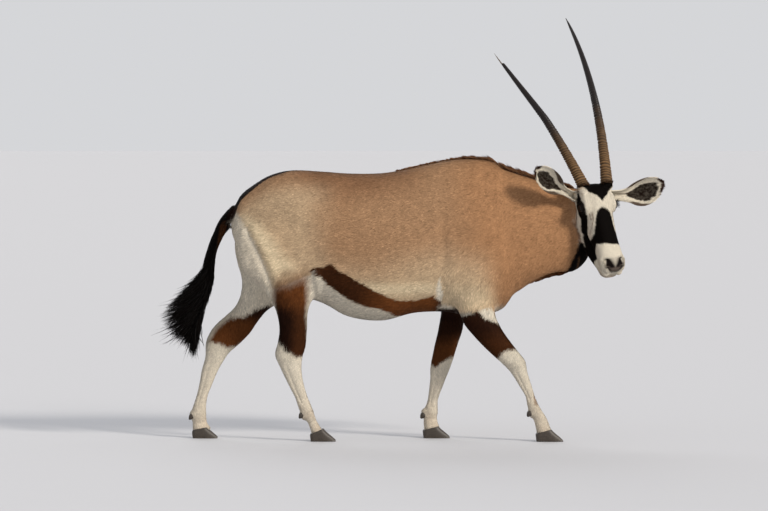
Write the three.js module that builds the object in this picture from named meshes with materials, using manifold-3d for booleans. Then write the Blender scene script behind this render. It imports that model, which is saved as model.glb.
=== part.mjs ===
// A gemsbok at life size, standing in a walking pose with its head turned to its right.
// Millimetres, +Z up, +X from tail to chest, -Y the animal's right side, soles at Z = 0.

import * as THREE from 'three';
import { LoftGeometry } from 'three/addons/geometries/LoftGeometry.js';
import { mergeVertices } from 'three/addons/utils/BufferGeometryUtils.js';
import Module from 'manifold-3d';

const wasm = await Module();
wasm.setup();

// Driving dimensions

const GAP = 0.3;
const LEG_OUT_HIND = 100;
const LEG_OUT_FRONT = 110;

const HEAD_AT = new THREE.Vector3(841, -75, 1155);
const HEAD_PITCH = 19.2;
const HEAD_YAW = 24.7;
const HEAD_ROLL = -6.6;

const HORN_BASE_RADIUS = 25;
const HORN_TIP_RADIUS = 3;
const HORN_LENGTH_LEFT = 920;
const HORN_LENGTH_RIGHT = 770;
const HORN_RINGS = 16;
const HORN_RING_SHARE = 0.58;

const EYE_RADIUS = 22;
const EYE_AT = [150, 70, -42];
const EYE_SIDES = 12;

const EAR_WALL = 5;

const HOOF_LENGTH = 112;
const HOOF_WIDTH = 33;

const MANE_RISE = 15;
const MANE_LOCKS = 24;
const MANE_LOCK_LENGTH = 70;
const MANE_LOCK_WIDTH = 23;

const FRINGE_LOCKS = 10;
const FRINGE_LOCK_LENGTH = 74;
const FRINGE_LOCK_WIDTH = 26;

const BRUSH_LOCKS = 34;
const BRUSH_LOCK_WIDTH = 30;
const BRUSH_HALF_WIDTH = 36;
const BRUSH_ELBOW = 0.62;

// Outlines, one row for each ring along a form:
// front or top edge x, z, rear or under edge x, z, half width

const TORSO = [
  [-690, 985, -688, 890, 36],
  [-660, 1046, -655, 800, 104],
  [-611, 1087, -590, 690, 142],
  [-534, 1132, -490, 632, 168],
  [-448, 1153, -397, 612, 182],
  [-320, 1149, -303, 580, 194],
  [-192, 1140, -201, 527, 206],
  [-43, 1143, -56, 509, 212],
  [107, 1172, 85, 542, 204],
  [235, 1198, 222, 545, 190],
  [342, 1202, 363, 525, 176],
  [436, 1183, 465, 578, 148],
  [480, 1120, 500, 660, 100],
];

const NECK = [
  [250, 1170, 390, 560, 130],
  [371, 1185, 488, 614, 134],
  [491, 1150, 595, 673, 116],
  [606, 1114, 688, 709, 98],
  [700, 1090, 770, 722, 82],
  [770, 1078, 818, 764, 72],
  [808, 1070, 850, 850, 60],
];
const NECK_SIDE = [0, 0, 4, 18, 34, 38, 24];

const HIND_RIGHT = [
  [-404, 1010, -640, 960, 28],
  [-353, 857, -662, 835, 76],
  [-323, 708, -638, 721, 76],
  [-338, 632, -574, 653, 68],
  [-366, 551, -523, 581, 52],
  [-374, 474, -493, 487, 38],
  [-380, 411, -499, 419, 33],
  [-393, 360, -510, 368, 33],
  [-395, 304, -491, 313, 30],
  [-383, 236, -455, 236, 25],
  [-366, 181, -425, 177, 22],
  [-353, 139, -404, 130, 26],
  [-332, 92, -374, 75, 25],
  [-312, 52, -356, 34, 32],
];

const HIND_LEFT = [
  [-407, 1010, -660, 959, 28],
  [-407, 808, -680, 830, 76],
  [-425, 658, -662, 714, 76],
  [-480, 589, -661, 650, 68],
  [-545, 547, -682, 581, 54],
  [-588, 499, -729, 529, 42],
  [-622, 452, -776, 482, 35],
  [-665, 409, -802, 439, 33],
  [-708, 371, -813, 401, 33],
  [-734, 332, -817, 349, 31],
  [-759, 285, -832, 298, 28],
  [-781, 233, -845, 229, 25],
  [-807, 165, -860, 165, 22],
  [-813, 113, -873, 109, 26],
  [-806, 72, -874, 66, 26],
  [-797, 50, -870, 36, 32],
];

const FRONT_RIGHT = [
  [403, 1050, 284, 1030, 30],
  [458, 899, 233, 878, 62],
  [458, 721, 225, 708, 66],
  [416, 581, 255, 589, 56],
  [418, 534, 289, 505, 48],
  [446, 492, 327, 456, 43],
  [480, 441, 369, 411, 40],
  [518, 390, 424, 360, 38],
  [552, 343, 454, 335, 38],
  [565, 296, 488, 296, 30],
  [582, 246, 522, 241, 25],
  [599, 190, 552, 190, 22],
  [613, 148, 567, 144, 27],
  [650, 97, 588, 86, 26],
  [664, 52, 604, 36, 34],
];

const FRONT_LEFT = [
  [417, 1050, 271, 1030, 30],
  [442, 872, 215, 851, 62],
  [408, 679, 190, 679, 64],
  [314, 581, 198, 593, 54],
  [301, 520, 193, 516, 48],
  [292, 465, 183, 456, 43],
  [271, 404, 170, 396, 40],
  [251, 344, 159, 336, 38],
  [241, 306, 151, 301, 35],
  [219, 246, 148, 250, 26],
  [189, 164, 138, 164, 22],
  [183, 117, 129, 121, 27],
  [185, 84, 120, 87, 27],
  [190, 52, 126, 36, 34],
];

const DOCK = [
  [-655, 1005, -655, 925, 36],
  [-679, 1006, -682, 931, 34],
  [-705, 989, -708, 918, 30],
  [-734, 956, -730, 888, 26],
  [-760, 914, -747, 850, 22],
  [-786, 854, -760, 811, 20],
  [-807, 790, -769, 760, 18],
  [-818, 726, -777, 700, 15],
  [-826, 640, -800, 628, 11],
];

// The head's own frame: x from poll to muzzle, y to its left, z out of the forehead

const SKULL = [
  [42, -66, 50, -108, 24],
  [48, -40, 62, -130, 46],
  [60, -17, 78, -145, 64],
  [84, -1, 94, -154, 73],
  [120, 5, 124, -158, 73],
  [160, 2, 160, -160, 68],
  [205, -3, 205, -155, 62],
  [250, -8, 250, -140, 57],
  [300, -13, 300, -122, 54],
  [350, -17, 350, -110, 55],
  [395, -20, 393, -101, 57],
  [428, -30, 424, -95, 52],
  [448, -50, 444, -84, 34],
];

const JAW = [
  [95, -110, 98, -172, 40],
  [130, -100, 136, -199, 54],
  [180, -100, 190, -204, 58],
  [240, -95, 248, -200, 61],
  [300, -90, 308, -188, 59],
  [350, -90, 358, -167, 52],
  [400, -90, 408, -140, 44],
  [434, -90, 438, -128, 41],
  [452, -96, 454, -118, 28],
];

// Small helpers

const radians = THREE.MathUtils.degToRad;
const vector = (x, y, z) => new THREE.Vector3(x, y, z);

// The same generator each run, so that nothing varies between builds
function seeded(seed) {
  let state = seed;
  return () => {
    state = (state * 1664525 + 1013904223) % 4294967296;
    return state / 4294967296;
  };
}

// Closed solids

function solidOf(geometry) {
  const bare = new THREE.BufferGeometry();
  bare.setAttribute('position', geometry.attributes.position);
  bare.setIndex(geometry.index);
  const merged = mergeVertices(bare, 1e-3);
  const corners = merged.index.array;
  const kept = [];
  for (let i = 0; i < corners.length; i += 3) {
    const [a, b, c] = [corners[i], corners[i + 1], corners[i + 2]];
    if (a !== b && b !== c && c !== a) kept.push(a, b, c);
  }
  const vertProperties = new Float32Array(merged.attributes.position.array);
  const triVerts = new Uint32Array(kept);
  return new wasm.Manifold(new wasm.Mesh({ numProp: 3, vertProperties, triVerts }));
}

function joined(solids) {
  return solids.reduce((sum, solid) => sum.add(solid));
}

function geometryOf(solid) {
  const mesh = solid.getMesh();
  const geometry = new THREE.BufferGeometry();
  geometry.setAttribute('position', new THREE.BufferAttribute(mesh.vertProperties, 3));
  geometry.setIndex(new THREE.BufferAttribute(mesh.triVerts, 1));
  geometry.computeVertexNormals();
  return geometry;
}

function ringCentre(ring) {
  return ring.reduce((sum, point) => sum.add(point), vector(0, 0, 0)).divideScalar(ring.length);
}

function ringNormal(ring) {
  const normal = vector(0, 0, 0);
  const centre = ringCentre(ring);
  ring.forEach((point, i) => {
    const next = ring[(i + 1) % ring.length];
    normal.add(point.clone().sub(centre).cross(next.clone().sub(centre)));
  });
  return normal;
}

// A closed loft whose rings all turn the way that leaves its faces pointing out
function loft(rings) {
  const middle = Math.floor(rings.length / 2);
  const along = ringCentre(rings[middle]).sub(ringCentre(rings[middle - 1]));
  const turned = ringNormal(rings[middle]).dot(along) < 0;
  const sections = turned ? rings.map((ring) => [...ring].reverse()) : rings;
  return solidOf(new LoftGeometry(sections, { capStart: true, capEnd: true }));
}

const squared = (value, power) => Math.sign(value) * Math.abs(value) ** power;

// Rings through an outline's rows. power under 1 squares the rings off,
// and egg widens them towards the rear or under edge.
function fleshRings(rows, around, steps, { side = 0, sides = null, power = 0.9, egg = 0 } = {}) {
  const edges = (i) => rows.map((row) => vector(row[i], 0, row[i + 1]));
  const front = new THREE.CatmullRomCurve3(edges(0));
  const rear = new THREE.CatmullRomCurve3(edges(2));
  const widths = rows.map((row, i) => vector(sides ? sides[i] : side, row[4], 0));
  const width = new THREE.CatmullRomCurve3(widths);
  const rings = [];
  for (let i = 0; i <= steps; i += 1) {
    const t = i / steps;
    const a = front.getPoint(t);
    const b = rear.getPoint(t);
    const w = width.getPoint(t);
    const middle = a.clone().add(b).multiplyScalar(0.5);
    const reach = a.clone().sub(b).multiplyScalar(0.5);
    const ring = [];
    for (let k = 0; k < around; k += 1) {
      const angle = (k / around) * Math.PI * 2;
      const c = squared(Math.cos(angle), power);
      const s = squared(Math.sin(angle), power);
      const point = middle.clone().addScaledVector(reach, c);
      point.y = w.x + w.y * s * (1 - egg * c);
      ring.push(point);
    }
    rings.push(ring);
  }
  return rings;
}

function flesh(rows, around, steps, shape) {
  return loft(fleshRings(rows, around, steps, shape));
}

// An ellipsoid of three radii, turned by degrees about x, y and z
function bulge(at, radii, turn = [0, 0, 0], around = 14) {
  const geometry = new THREE.SphereGeometry(1, around, Math.round(around * 0.6));
  geometry.scale(...radii);
  const euler = new THREE.Euler(...turn.map(radians));
  geometry.applyMatrix4(new THREE.Matrix4().makeRotationFromEuler(euler));
  geometry.translate(...at);
  return solidOf(geometry);
}

function block(size, matrix) {
  return solidOf(new THREE.BoxGeometry(...size).applyMatrix4(matrix));
}

// A thin cut whose plane has the given normal, as wide across as along
function thinCut(at, normal, across, along = across, upright = vector(0, 1, 0)) {
  const side = upright.clone().normalize();
  const n = normal.clone().normalize();
  const u = side.clone().sub(n.clone().multiplyScalar(side.dot(n))).normalize();
  const matrix = new THREE.Matrix4().makeBasis(n, u, n.clone().cross(u)).setPosition(at);
  return block([GAP, across, along], matrix);
}

// A thin cut seen edge on from the side, from one point of the side view to another
function sideCut([x0, z0], [x1, z1], y, across) {
  const at = vector((x0 + x1) / 2, y, (z0 + z1) / 2);
  return thinCut(at, vector(z1 - z0, 0, x0 - x1), across, Math.hypot(x1 - x0, z1 - z0));
}

function largest(solid) {
  const parts = solid.decompose();
  return parts.reduce((best, part) => (part.volume() > best.volume() ? part : best));
}

function worldOf(solid, matrix) {
  return solid.transform(matrix.elements);
}

// The head's frame, turned to the animal's right and leaning

function headFrame() {
  const pitch = radians(HEAD_PITCH);
  const yaw = radians(HEAD_YAW);
  const facing = vector(Math.sin(yaw), -Math.cos(yaw), 0);
  const muzzle = facing.clone().multiplyScalar(Math.sin(pitch)).setZ(-Math.cos(pitch));
  const brow = facing.clone().multiplyScalar(Math.cos(pitch)).setZ(Math.sin(pitch));
  const roll = new THREE.Matrix4().makeRotationY(radians(HEAD_ROLL));
  const frame = new THREE.Matrix4().makeBasis(muzzle, brow.clone().cross(muzzle), brow);
  return roll.multiply(frame).setPosition(HEAD_AT);
}

const HEAD = headFrame();
const inHead = (x, y, z) => vector(x, y, z).applyMatrix4(HEAD);
const headTurn = (x, y, z) => vector(x, y, z).transformDirection(HEAD);

// Head

function eyeAxis(side) {
  return vector(0.2, side * 0.93, 0.3).normalize();
}

function eyePlace(side) {
  return vector(EYE_AT[0], side * EYE_AT[1], EYE_AT[2]);
}

function headFlesh() {
  const forms = [
    flesh(SKULL, 18, 14, { power: 0.85, egg: -0.06 }),
    flesh(JAW, 12, 9, { power: 0.9 }),
  ];
  for (const side of [-1, 1]) {
    forms.push(bulge([176, side * 52, -130], [70, 20, 52], [0, 0, 0], 8));
    forms.push(bulge([EYE_AT[0], side * (EYE_AT[1] - 1), EYE_AT[2]], [38, 26, 30], [0, 0, 0], 10));
    forms.push(bulge([136, side * 58, -24], [42, 22, 17], [0, 0, 0], 8));
    forms.push(bulge([70, side * 55, -18], [30, 29, 19], [0, 0, 0], 8));
    forms.push(bulge([410, side * 36, -52], [32, 23, 28], [0, 0, 0], 8));
    forms.push(bulge([428, side * 30, -80], [30, 23, 17], [0, 0, 0], 8));
    forms.push(bulge([84, side * 64, -76], [30, 20, 28], [0, 0, 0], 8));
  }
  return joined(forms);
}

function nostrilCut(side) {
  return bulge([428, side * 36, -42], [15, 7, 17], [side * -35, -18, 0], 8);
}

function eyeCut(side) {
  const at = eyePlace(side);
  const out = eyeAxis(side);
  const socket = bulge(at.toArray(), Array(3).fill(EYE_RADIUS + GAP), [0, 0, 0], EYE_SIDES);
  const opening = at.clone().addScaledVector(out, EYE_RADIUS);
  return socket.add(bulge(opening.toArray(), [20, 26, 13], [side * 18, 0, side * -12], 8));
}

// The line of the mouth runs round the lips and stops at the mouth's corners
function mouthCut() {
  const slit = block([150, 150, 2.4], new THREE.Matrix4().makeTranslation(405, 0, -98));
  const core = flesh(JAW.map(([a, b, c, d, w]) => [a - 10, b + 12, c - 10, d, w + 2]), 10, 6);
  return slit.subtract(core);
}

// Horns

function hornCurve(side, length) {
  const points = [];
  const at = vector(64, side * 55, -14);
  const steps = 24;
  for (let i = 0; i <= steps; i += 1) {
    points.push(at.clone().applyMatrix4(HEAD));
    const t = i / steps;
    const back = radians(1 + 32 * t);
    const spread = radians(12.5 - 5 * t);
    const inPlane = Math.cos(spread);
    const go = vector(-Math.cos(back) * inPlane, side * Math.sin(spread), -Math.sin(back) * inPlane);
    at.addScaledVector(go, length / steps);
  }
  return new THREE.CatmullRomCurve3(points);
}

function hornRadius(t) {
  const ringed = t < HORN_RING_SHARE;
  const wave = ringed ? (1 - Math.cos((t / HORN_RING_SHARE) * HORN_RINGS * Math.PI * 2)) / 2 : 0;
  const plain = THREE.MathUtils.lerp(HORN_BASE_RADIUS, HORN_TIP_RADIUS, t ** 0.85);
  return plain + wave * 2 * (1 - t);
}

function horn(side, length) {
  const curve = hornCurve(side, length);
  const stops = [];
  const ringStops = HORN_RINGS * 2;
  const plainStops = 7;
  for (let i = 0; i <= ringStops; i += 1) stops.push((i / ringStops) * HORN_RING_SHARE);
  for (let i = 1; i <= plainStops; i += 1) {
    stops.push(HORN_RING_SHARE + (i / plainStops) * (1 - HORN_RING_SHARE));
  }
  const around = 8;
  const rings = stops.map((t) => {
    const at = curve.getPoint(t);
    const along = curve.getTangent(t);
    const u = vector(0, 1, 0).cross(along).normalize();
    const w = along.clone().cross(u);
    const radius = hornRadius(t);
    return Array.from({ length: around }, (_, k) => {
      const angle = (k / around) * Math.PI * 2;
      const reach = u.clone().multiplyScalar(Math.cos(angle)).addScaledVector(w, Math.sin(angle));
      return at.clone().addScaledVector(reach, radius);
    });
  });
  return loft(rings);
}

function hornCut(side) {
  return thinCut(inHead(50, side * 58, -14), headTurn(-1, side * 0.2, 0), 76, 76);
}

// Ears: a cup that opens out from a rolled root, given by its root, its tip and its mouth's way

// Half width and half angle of the cup's arc, from the root to the tip
const EAR_PROFILE = [
  [24, 125],
  [24, 120],
  [26, 112],
  [33, 100],
  [50, 90],
  [59, 78],
  [58, 68],
  [46, 58],
  [15, 46],
];

const EARS = {
  right: {
    root: inHead(86, -72, -76),
    tip: vector(594, -205, 1159),
    mouth: vector(0, -1, 0.15),
    sag: 13,
    slim: 11,
  },
  left: {
    root: inHead(94, 72, -76),
    tip: vector(1145, -10, 1096),
    mouth: vector(0.1, -1, -0.1),
    sag: 20,
    slim: 0,
  },
};

function ear({ root, tip, mouth, sag, slim }) {
  const along = tip.clone().sub(root).normalize();
  const face = mouth.clone().addScaledVector(along, -mouth.dot(along)).normalize();
  const across = face.clone().cross(along);
  const profile = new THREE.CatmullRomCurve3(EAR_PROFILE.map(([half, open]) => vector(half, open, 0)));
  const steps = 9;
  const arcPoints = 6;
  const rings = [];
  for (let i = 0; i <= steps; i += 1) {
    const t = 1 - (1 - i / steps) ** 1.2;
    const { x: fullHalf, y: degrees } = profile.getPoint(t);
    const half = fullHalf - slim * Math.sin(Math.PI * t);
    const open = radians(degrees);
    const radius = half / Math.sin(Math.min(open, Math.PI / 2));
    const at = root.clone().lerp(tip, t);
    at.z -= sag * Math.sin(Math.PI * t);
    at.addScaledVector(face, (radius * (1 + Math.cos(open))) / 2);
    const arc = (r, way) => Array.from({ length: arcPoints + 1 }, (_, k) => {
      const angle = way * open * (1 - (2 * k) / arcPoints);
      const reach = across.clone().multiplyScalar(Math.sin(angle)).addScaledVector(face, -Math.cos(angle));
      return at.clone().addScaledVector(reach, r);
    });
    const wall = Math.min(EAR_WALL, radius * 0.4);
    rings.push([...arc(radius, 1), ...arc(radius - wall, -1)]);
  }
  return loft(rings);
}

function earCut({ root, tip }) {
  const along = tip.clone().sub(root).normalize();
  return thinCut(root.clone().addScaledVector(along, 14), along, 130, 130, vector(0, 0, 1));
}

// Locks of long hair

// How wide a lock is along its length, as shares of its full width
const LOCK_TAPER = [[0, 0.7], [0.3, 1], [0.65, 0.8], [1, 0.05]];

// A lock's cross-section, flat below and ridged above, in shares of its half width
const LOCK_SECTION = [[1, -0.12], [0, 0.46], [-1, -0.12]];

// A flat lock that leaves its root the given way and bends over to its tip.
// elbowShare is how far along its length it turns.
function lock(root, way, tip, across, width, elbowShare = 0.5) {
  const reach = root.distanceTo(tip);
  const elbow = root.clone().addScaledVector(way, reach * elbowShare);
  const curve = new THREE.QuadraticBezierCurve3(root, elbow, tip);
  const rings = LOCK_TAPER.map(([t, share]) => {
    const at = curve.getPoint(t);
    const along = curve.getTangent(t);
    const side = across.clone().addScaledVector(along, -across.dot(along)).normalize();
    const out = along.clone().cross(side);
    const half = (width * share) / 2;
    return LOCK_SECTION.map(([u, v]) => (
      at.clone().addScaledVector(side, half * u).addScaledVector(out, half * v)
    ));
  });
  return loft(rings);
}

// The line along the top of the shoulders and neck that the mane grows from
const MANE_ROWS = [...TORSO.slice(8, 10), ...NECK.slice(1, 5)];
const MANE_SIDE = [0, 0, ...NECK_SIDE.slice(1, 5)];

function mane() {
  const random = seeded(11);
  const coreTop = MANE_RISE * 0.4;
  const coreRows = MANE_ROWS.map(([x, z]) => [x, z + coreTop, x, z - MANE_RISE, MANE_LOCK_WIDTH * 0.4]);
  const line = new THREE.CatmullRomCurve3(MANE_ROWS.map(([x, z], i) => vector(x, MANE_SIDE[i], z)));
  const locks = [flesh(coreRows, 6, 9, { sides: MANE_SIDE })];
  for (let i = 0; i < MANE_LOCKS; i += 1) {
    const t = (i + 0.7) / MANE_LOCKS;
    const lean = (i % 2 ? 1 : -1) * (0.15 + 0.3 * random());
    const root = line.getPoint(t).add(vector(0, lean * 18, -8));
    const back = line.getTangent(t).negate();
    const length = MANE_LOCK_LENGTH * (0.85 + 0.3 * random());
    const rise = MANE_RISE * (0.85 + 0.5 * random());
    const tip = root.clone().addScaledVector(back, length).add(vector(0, lean * 24, rise));
    const way = back.clone().multiplyScalar(0.45).add(vector(0, lean * 0.6, 0.9)).normalize();
    locks.push(lock(root, way, tip, vector(0, 1, lean), MANE_LOCK_WIDTH));
  }
  return locks;
}

function fringe() {
  const random = seeded(8);
  const under = NECK.slice(1, 5).map((row, i) => vector(row[2], NECK_SIDE[i + 1], row[3]));
  const line = new THREE.CatmullRomCurve3(under);
  const locks = [];
  for (let i = 0; i < FRINGE_LOCKS; i += 1) {
    const t = 0.1 + (0.72 * (i + 0.5)) / FRINGE_LOCKS;
    const lean = (i % 2 ? 1 : -1) * (0.3 + 0.5 * random());
    const root = line.getPoint(t).add(vector(0, lean * 22, 16));
    const back = line.getTangent(t).negate();
    const length = FRINGE_LOCK_LENGTH * (0.8 + 0.4 * random());
    const drop = -10 - 16 * random();
    const tip = root.clone().addScaledVector(back, length * 0.85).add(vector(0, lean * 10, drop));
    const way = back.clone().multiplyScalar(0.3).add(vector(0, lean * 0.3, -1)).normalize();
    locks.push(lock(root, way, tip, vector(0.5, 0, 0.5), FRINGE_LOCK_WIDTH));
  }
  return locks;
}

const BRUSH_CORE = [
  [-734, 956, -730, 888, 26],
  [-783, 862, -757, 822, 27],
  [-813, 770, -764, 752, 27],
  [-830, 700, -768, 680, 28],
  [-848, 630, -780, 610, 28],
  [-866, 565, -800, 545, 24],
  [-876, 520, -835, 482, 10],
];

// Where the brush's tips lie in the side view, from the uppermost to the foremost
const BRUSH_TIPS = [
  [-930, 604],
  [-1000, 536],
  [-985, 462],
  [-948, 424],
  [-905, 396],
  [-862, 350],
  [-842, 430],
];

// Hair of a tail that swings back: the upper locks reach out behind, the last ones hang down
function tailBrush() {
  const random = seeded(23);
  const middles = BRUSH_CORE.map(([a, b, c, d]) => vector((a + c) / 2, 0, (b + d) / 2));
  const roots = new THREE.CatmullRomCurve3(middles.slice(1));
  const tips = new THREE.CatmullRomCurve3(BRUSH_TIPS.map(([x, z]) => vector(x, 0, z)));
  const locks = [flesh(BRUSH_CORE, 8, 9, {})];
  for (let i = 0; i < BRUSH_LOCKS; i += 1) {
    const share = i / (BRUSH_LOCKS - 1);
    const layer = [-1, 0.35, 1, -0.35][i % 4];
    const t = 0.08 + 0.75 * share + 0.12 * random();
    const root = roots.getPoint(t).add(vector(0, layer * 12, 0));
    const tip = tips.getPoint(share).add(vector(0, layer * BRUSH_HALF_WIDTH, 0));
    tip.lerp(root, 0.22 * random());
    const way = roots.getTangent(t).add(vector(0, layer * 0.3, 0)).normalize();
    const twist = 0.9 * (random() - 0.5);
    locks.push(lock(root, way, tip, vector(1, twist, -0.6), BRUSH_LOCK_WIDTH, BRUSH_ELBOW));
  }
  return locks;
}

// Feet

const FEET = {
  front_right: { heel: vector(603, -LEG_OUT_FRONT, 0), coronet: FRONT_RIGHT.at(-1), size: 1 },
  front_left: { heel: vector(124, LEG_OUT_FRONT, 0), coronet: FRONT_LEFT.at(-1), size: 1 },
  hind_right: { heel: vector(-358, -LEG_OUT_HIND, 0), coronet: HIND_RIGHT.at(-1), size: 0.94 },
  hind_left: { heel: vector(-868, LEG_OUT_HIND, 0), coronet: HIND_LEFT.at(-1), size: 0.94 },
};

// One claw of a cloven hoof: flat below, cut off above under the coronet
function claw(foot, side) {
  const { heel, coronet, size } = foot;
  const rows = [
    [-4, 30, 2, -14, HOOF_WIDTH * 0.36],
    [14, 62, 14, -16, HOOF_WIDTH * 0.52],
    [48, 62, 48, -16, HOOF_WIDTH * 0.52],
    [HOOF_LENGTH - 38, 38, HOOF_LENGTH - 36, -16, HOOF_WIDTH * 0.44],
    [HOOF_LENGTH - 14, 18, HOOF_LENGTH - 12, -14, HOOF_WIDTH * 0.27],
    [HOOF_LENGTH, 5, HOOF_LENGTH, -8, HOOF_WIDTH * 0.09],
  ];
  const form = flesh(rows.map((row) => row.map((value) => value * size)), 8, 5, { power: 0.75 });
  const turn = new THREE.Matrix4().makeRotationZ(radians(side * 4));
  turn.setPosition(heel.clone().add(vector(0, side * (HOOF_WIDTH / 2 + 1.5) * size, 0)));
  const [frontX, frontZ, rearX, rearZ] = coronet;
  const slope = Math.atan2(frontZ - rearZ, frontX - rearX);
  const above = new THREE.Matrix4().makeRotationY(-slope);
  above.setPosition((frontX + rearX) / 2, heel.y, (frontZ + rearZ) / 2);
  const cutHeight = 120;
  const lift = new THREE.Matrix4().makeTranslation(0, 0, cutHeight / 2 - GAP);
  const lid = block([400, 200, cutHeight], above.multiply(lift));
  const under = new THREE.Matrix4().makeTranslation(heel.x, heel.y, -cutHeight / 2);
  const ground = block([400, 200, cutHeight], under);
  return largest(worldOf(form, turn).subtract(lid).subtract(ground));
}

// Dewclaws stand in pairs behind each fetlock
const FETLOCKS = {
  front_right: vector(574, -LEG_OUT_FRONT, 120),
  front_left: vector(122, LEG_OUT_FRONT, 98),
  hind_right: vector(-397, -LEG_OUT_HIND, 112),
  hind_left: vector(-873, LEG_OUT_HIND, 94),
};

function dewclawPlace(name, side) {
  return FETLOCKS[name].clone().add(vector(0, side * 14, 0));
}

function dewclaw(name, side) {
  const at = dewclawPlace(name, side);
  return bulge(at.toArray(), [17, 9, 12], [0, 20, 0], 6);
}

function dewclawCut(name, side) {
  return thinCut(dewclawPlace(name, side).add(vector(-4, 0, 0)), vector(1, 0, 0), 24, 36);
}

// The whole body, then its cuts

function wholeBody() {
  const forms = [
    flesh(TORSO, 20, 19, { power: 0.88, egg: 0.08 }),
    flesh(NECK, 18, 10, { sides: NECK_SIDE }),
    flesh(HIND_RIGHT, 12, 20, { side: -LEG_OUT_HIND }),
    flesh(HIND_LEFT, 12, 22, { side: LEG_OUT_HIND }),
    flesh(FRONT_RIGHT, 12, 21, { side: -LEG_OUT_FRONT }),
    flesh(FRONT_LEFT, 12, 20, { side: LEG_OUT_FRONT }),
    flesh(DOCK, 10, 14, {}),
    ...mane(),
    ...fringe(),
    ...tailBrush(),
    worldOf(headFlesh(), HEAD),
    horn(1, HORN_LENGTH_LEFT),
    horn(-1, HORN_LENGTH_RIGHT),
    ear(EARS.left),
    ear(EARS.right),
  ];
  for (const name of Object.keys(FEET)) {
    for (const side of [-1, 1]) forms.push(dewclaw(name, side));
  }
  return joined(forms);
}

function cuts() {
  const list = [
    sideCut([314, 1240], [521, 582], 0, 500),
    thinCut(vector(780, 38, 905), vector(0.765, -0.615, -0.193), 290, 480, vector(0.575, 0.778, -0.204)),
    sideCut([-697, 1040], [-705, 880], 0, 130),
    sideCut([-328, 742], [-720, 800], 0, 420),
    sideCut([-328, 742], [-300, 560], 0, 420),
    block([480, GAP, 330], new THREE.Matrix4().makeTranslation(-540, 0, 640)),
    sideCut([450, 533], [270, 493], -LEG_OUT_FRONT, 150),
    sideCut([330, 516], [165, 508], LEG_OUT_FRONT, 150),
    sideCut([595, 312], [450, 304], -LEG_OUT_FRONT, 120),
    sideCut([275, 312], [120, 304], LEG_OUT_FRONT, 120),
    sideCut([-370, 318], [-530, 330], -LEG_OUT_HIND, 120),
    sideCut([-700, 340], [-850, 372], LEG_OUT_HIND, 120),
    sideCut([640, 172], [540, 166], -LEG_OUT_FRONT, 120),
    sideCut([220, 142], [100, 142], LEG_OUT_FRONT, 120),
    sideCut([-330, 162], [-440, 150], -LEG_OUT_HIND, 120),
    sideCut([-780, 136], [-900, 136], LEG_OUT_HIND, 120),
    hornCut(1),
    hornCut(-1),
    earCut(EARS.left),
    earCut(EARS.right),
  ];
  for (const name of Object.keys(FEET)) {
    for (const side of [-1, 1]) list.push(dewclawCut(name, side));
  }
  for (const side of [-1, 1]) {
    list.push(worldOf(nostrilCut(side), HEAD));
    list.push(worldOf(eyeCut(side), HEAD));
  }
  list.push(worldOf(mouthCut(), HEAD));
  return joined(list);
}

// Each parted node is the piece that holds its own marker point
const MARKERS = {
  torso: vector(0, 0, 850),
  neck: vector(560, 0, 900),
  head: inHead(230, 0, -60),
  tail: vector(-745, 0, 890),
  leg_hind_right_upper: vector(-430, -LEG_OUT_HIND, 500),
  leg_hind_left_upper: vector(-640, LEG_OUT_HIND, 540),
  leg_hind_right_cannon: vector(-410, -LEG_OUT_HIND, 220),
  leg_hind_left_cannon: vector(-815, LEG_OUT_HIND, 230),
  leg_hind_right_pastern: vector(-360, -LEG_OUT_HIND, 100),
  leg_hind_left_pastern: vector(-840, LEG_OUT_HIND, 90),
  leg_front_right_upper: vector(430, -LEG_OUT_FRONT, 430),
  leg_front_left_upper: vector(235, LEG_OUT_FRONT, 440),
  leg_front_right_cannon: vector(550, -LEG_OUT_FRONT, 240),
  leg_front_left_cannon: vector(180, LEG_OUT_FRONT, 240),
  leg_front_right_pastern: vector(612, -LEG_OUT_FRONT, 110),
  leg_front_left_pastern: vector(155, LEG_OUT_FRONT, 100),
  horn_right: hornCurve(-1, HORN_LENGTH_RIGHT).getPoint(0.3),
  horn_left: hornCurve(1, HORN_LENGTH_LEFT).getPoint(0.3),
};

function holds(solid, point) {
  const box = solid.boundingBox();
  const inside = point.toArray().every((value, i) => value > box.min[i] && value < box.max[i]);
  if (!inside) return false;
  const probe = block([1, 1, 1], new THREE.Matrix4().setPosition(point));
  return solid.intersect(probe).volume() > 0.01;
}

function nearest(solids, point) {
  const away = (solid) => {
    const box = solid.boundingBox();
    return vector(...box.min).add(vector(...box.max)).multiplyScalar(0.5).distanceTo(point);
  };
  return solids.reduce((best, solid) => (away(solid) < away(best) ? solid : best));
}

// Finishes

function finish(color, roughness) {
  return () => new THREE.MeshStandardMaterial({ color, roughness, metalness: 0 });
}

const tanCoat = finish(0xa5825c, 0.85);
const greyCoat = finish(0x9c8a78, 0.85);
const darkCoat = finish(0x2c211c, 0.85);
const whiteCoat = finish(0xd9cfc2, 0.85);
const hornSheath = finish(0x3a2f28, 0.55);
const hoofHorn = finish(0x1f1b19, 0.6);
const eyeSurface = finish(0x120d0a, 0.1);

function coatOf(name) {
  if (name.startsWith('horn')) return hornSheath;
  if (name.startsWith('tail')) return darkCoat;
  if (name.startsWith('leg') && name.endsWith('upper')) return darkCoat;
  if (name.startsWith('leg') || name.startsWith('ear')) return whiteCoat;
  if (name.startsWith('dewclaw')) return hoofHorn;
  return name === 'torso' ? greyCoat : tanCoat;
}

// The model

const model = new THREE.Group();

function addMesh(name, geometry, material) {
  const mesh = new THREE.Mesh(geometry, material());
  mesh.name = name;
  model.add(mesh);
  return mesh;
}

const pieces = wholeBody().subtract(cuts()).decompose();

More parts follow.
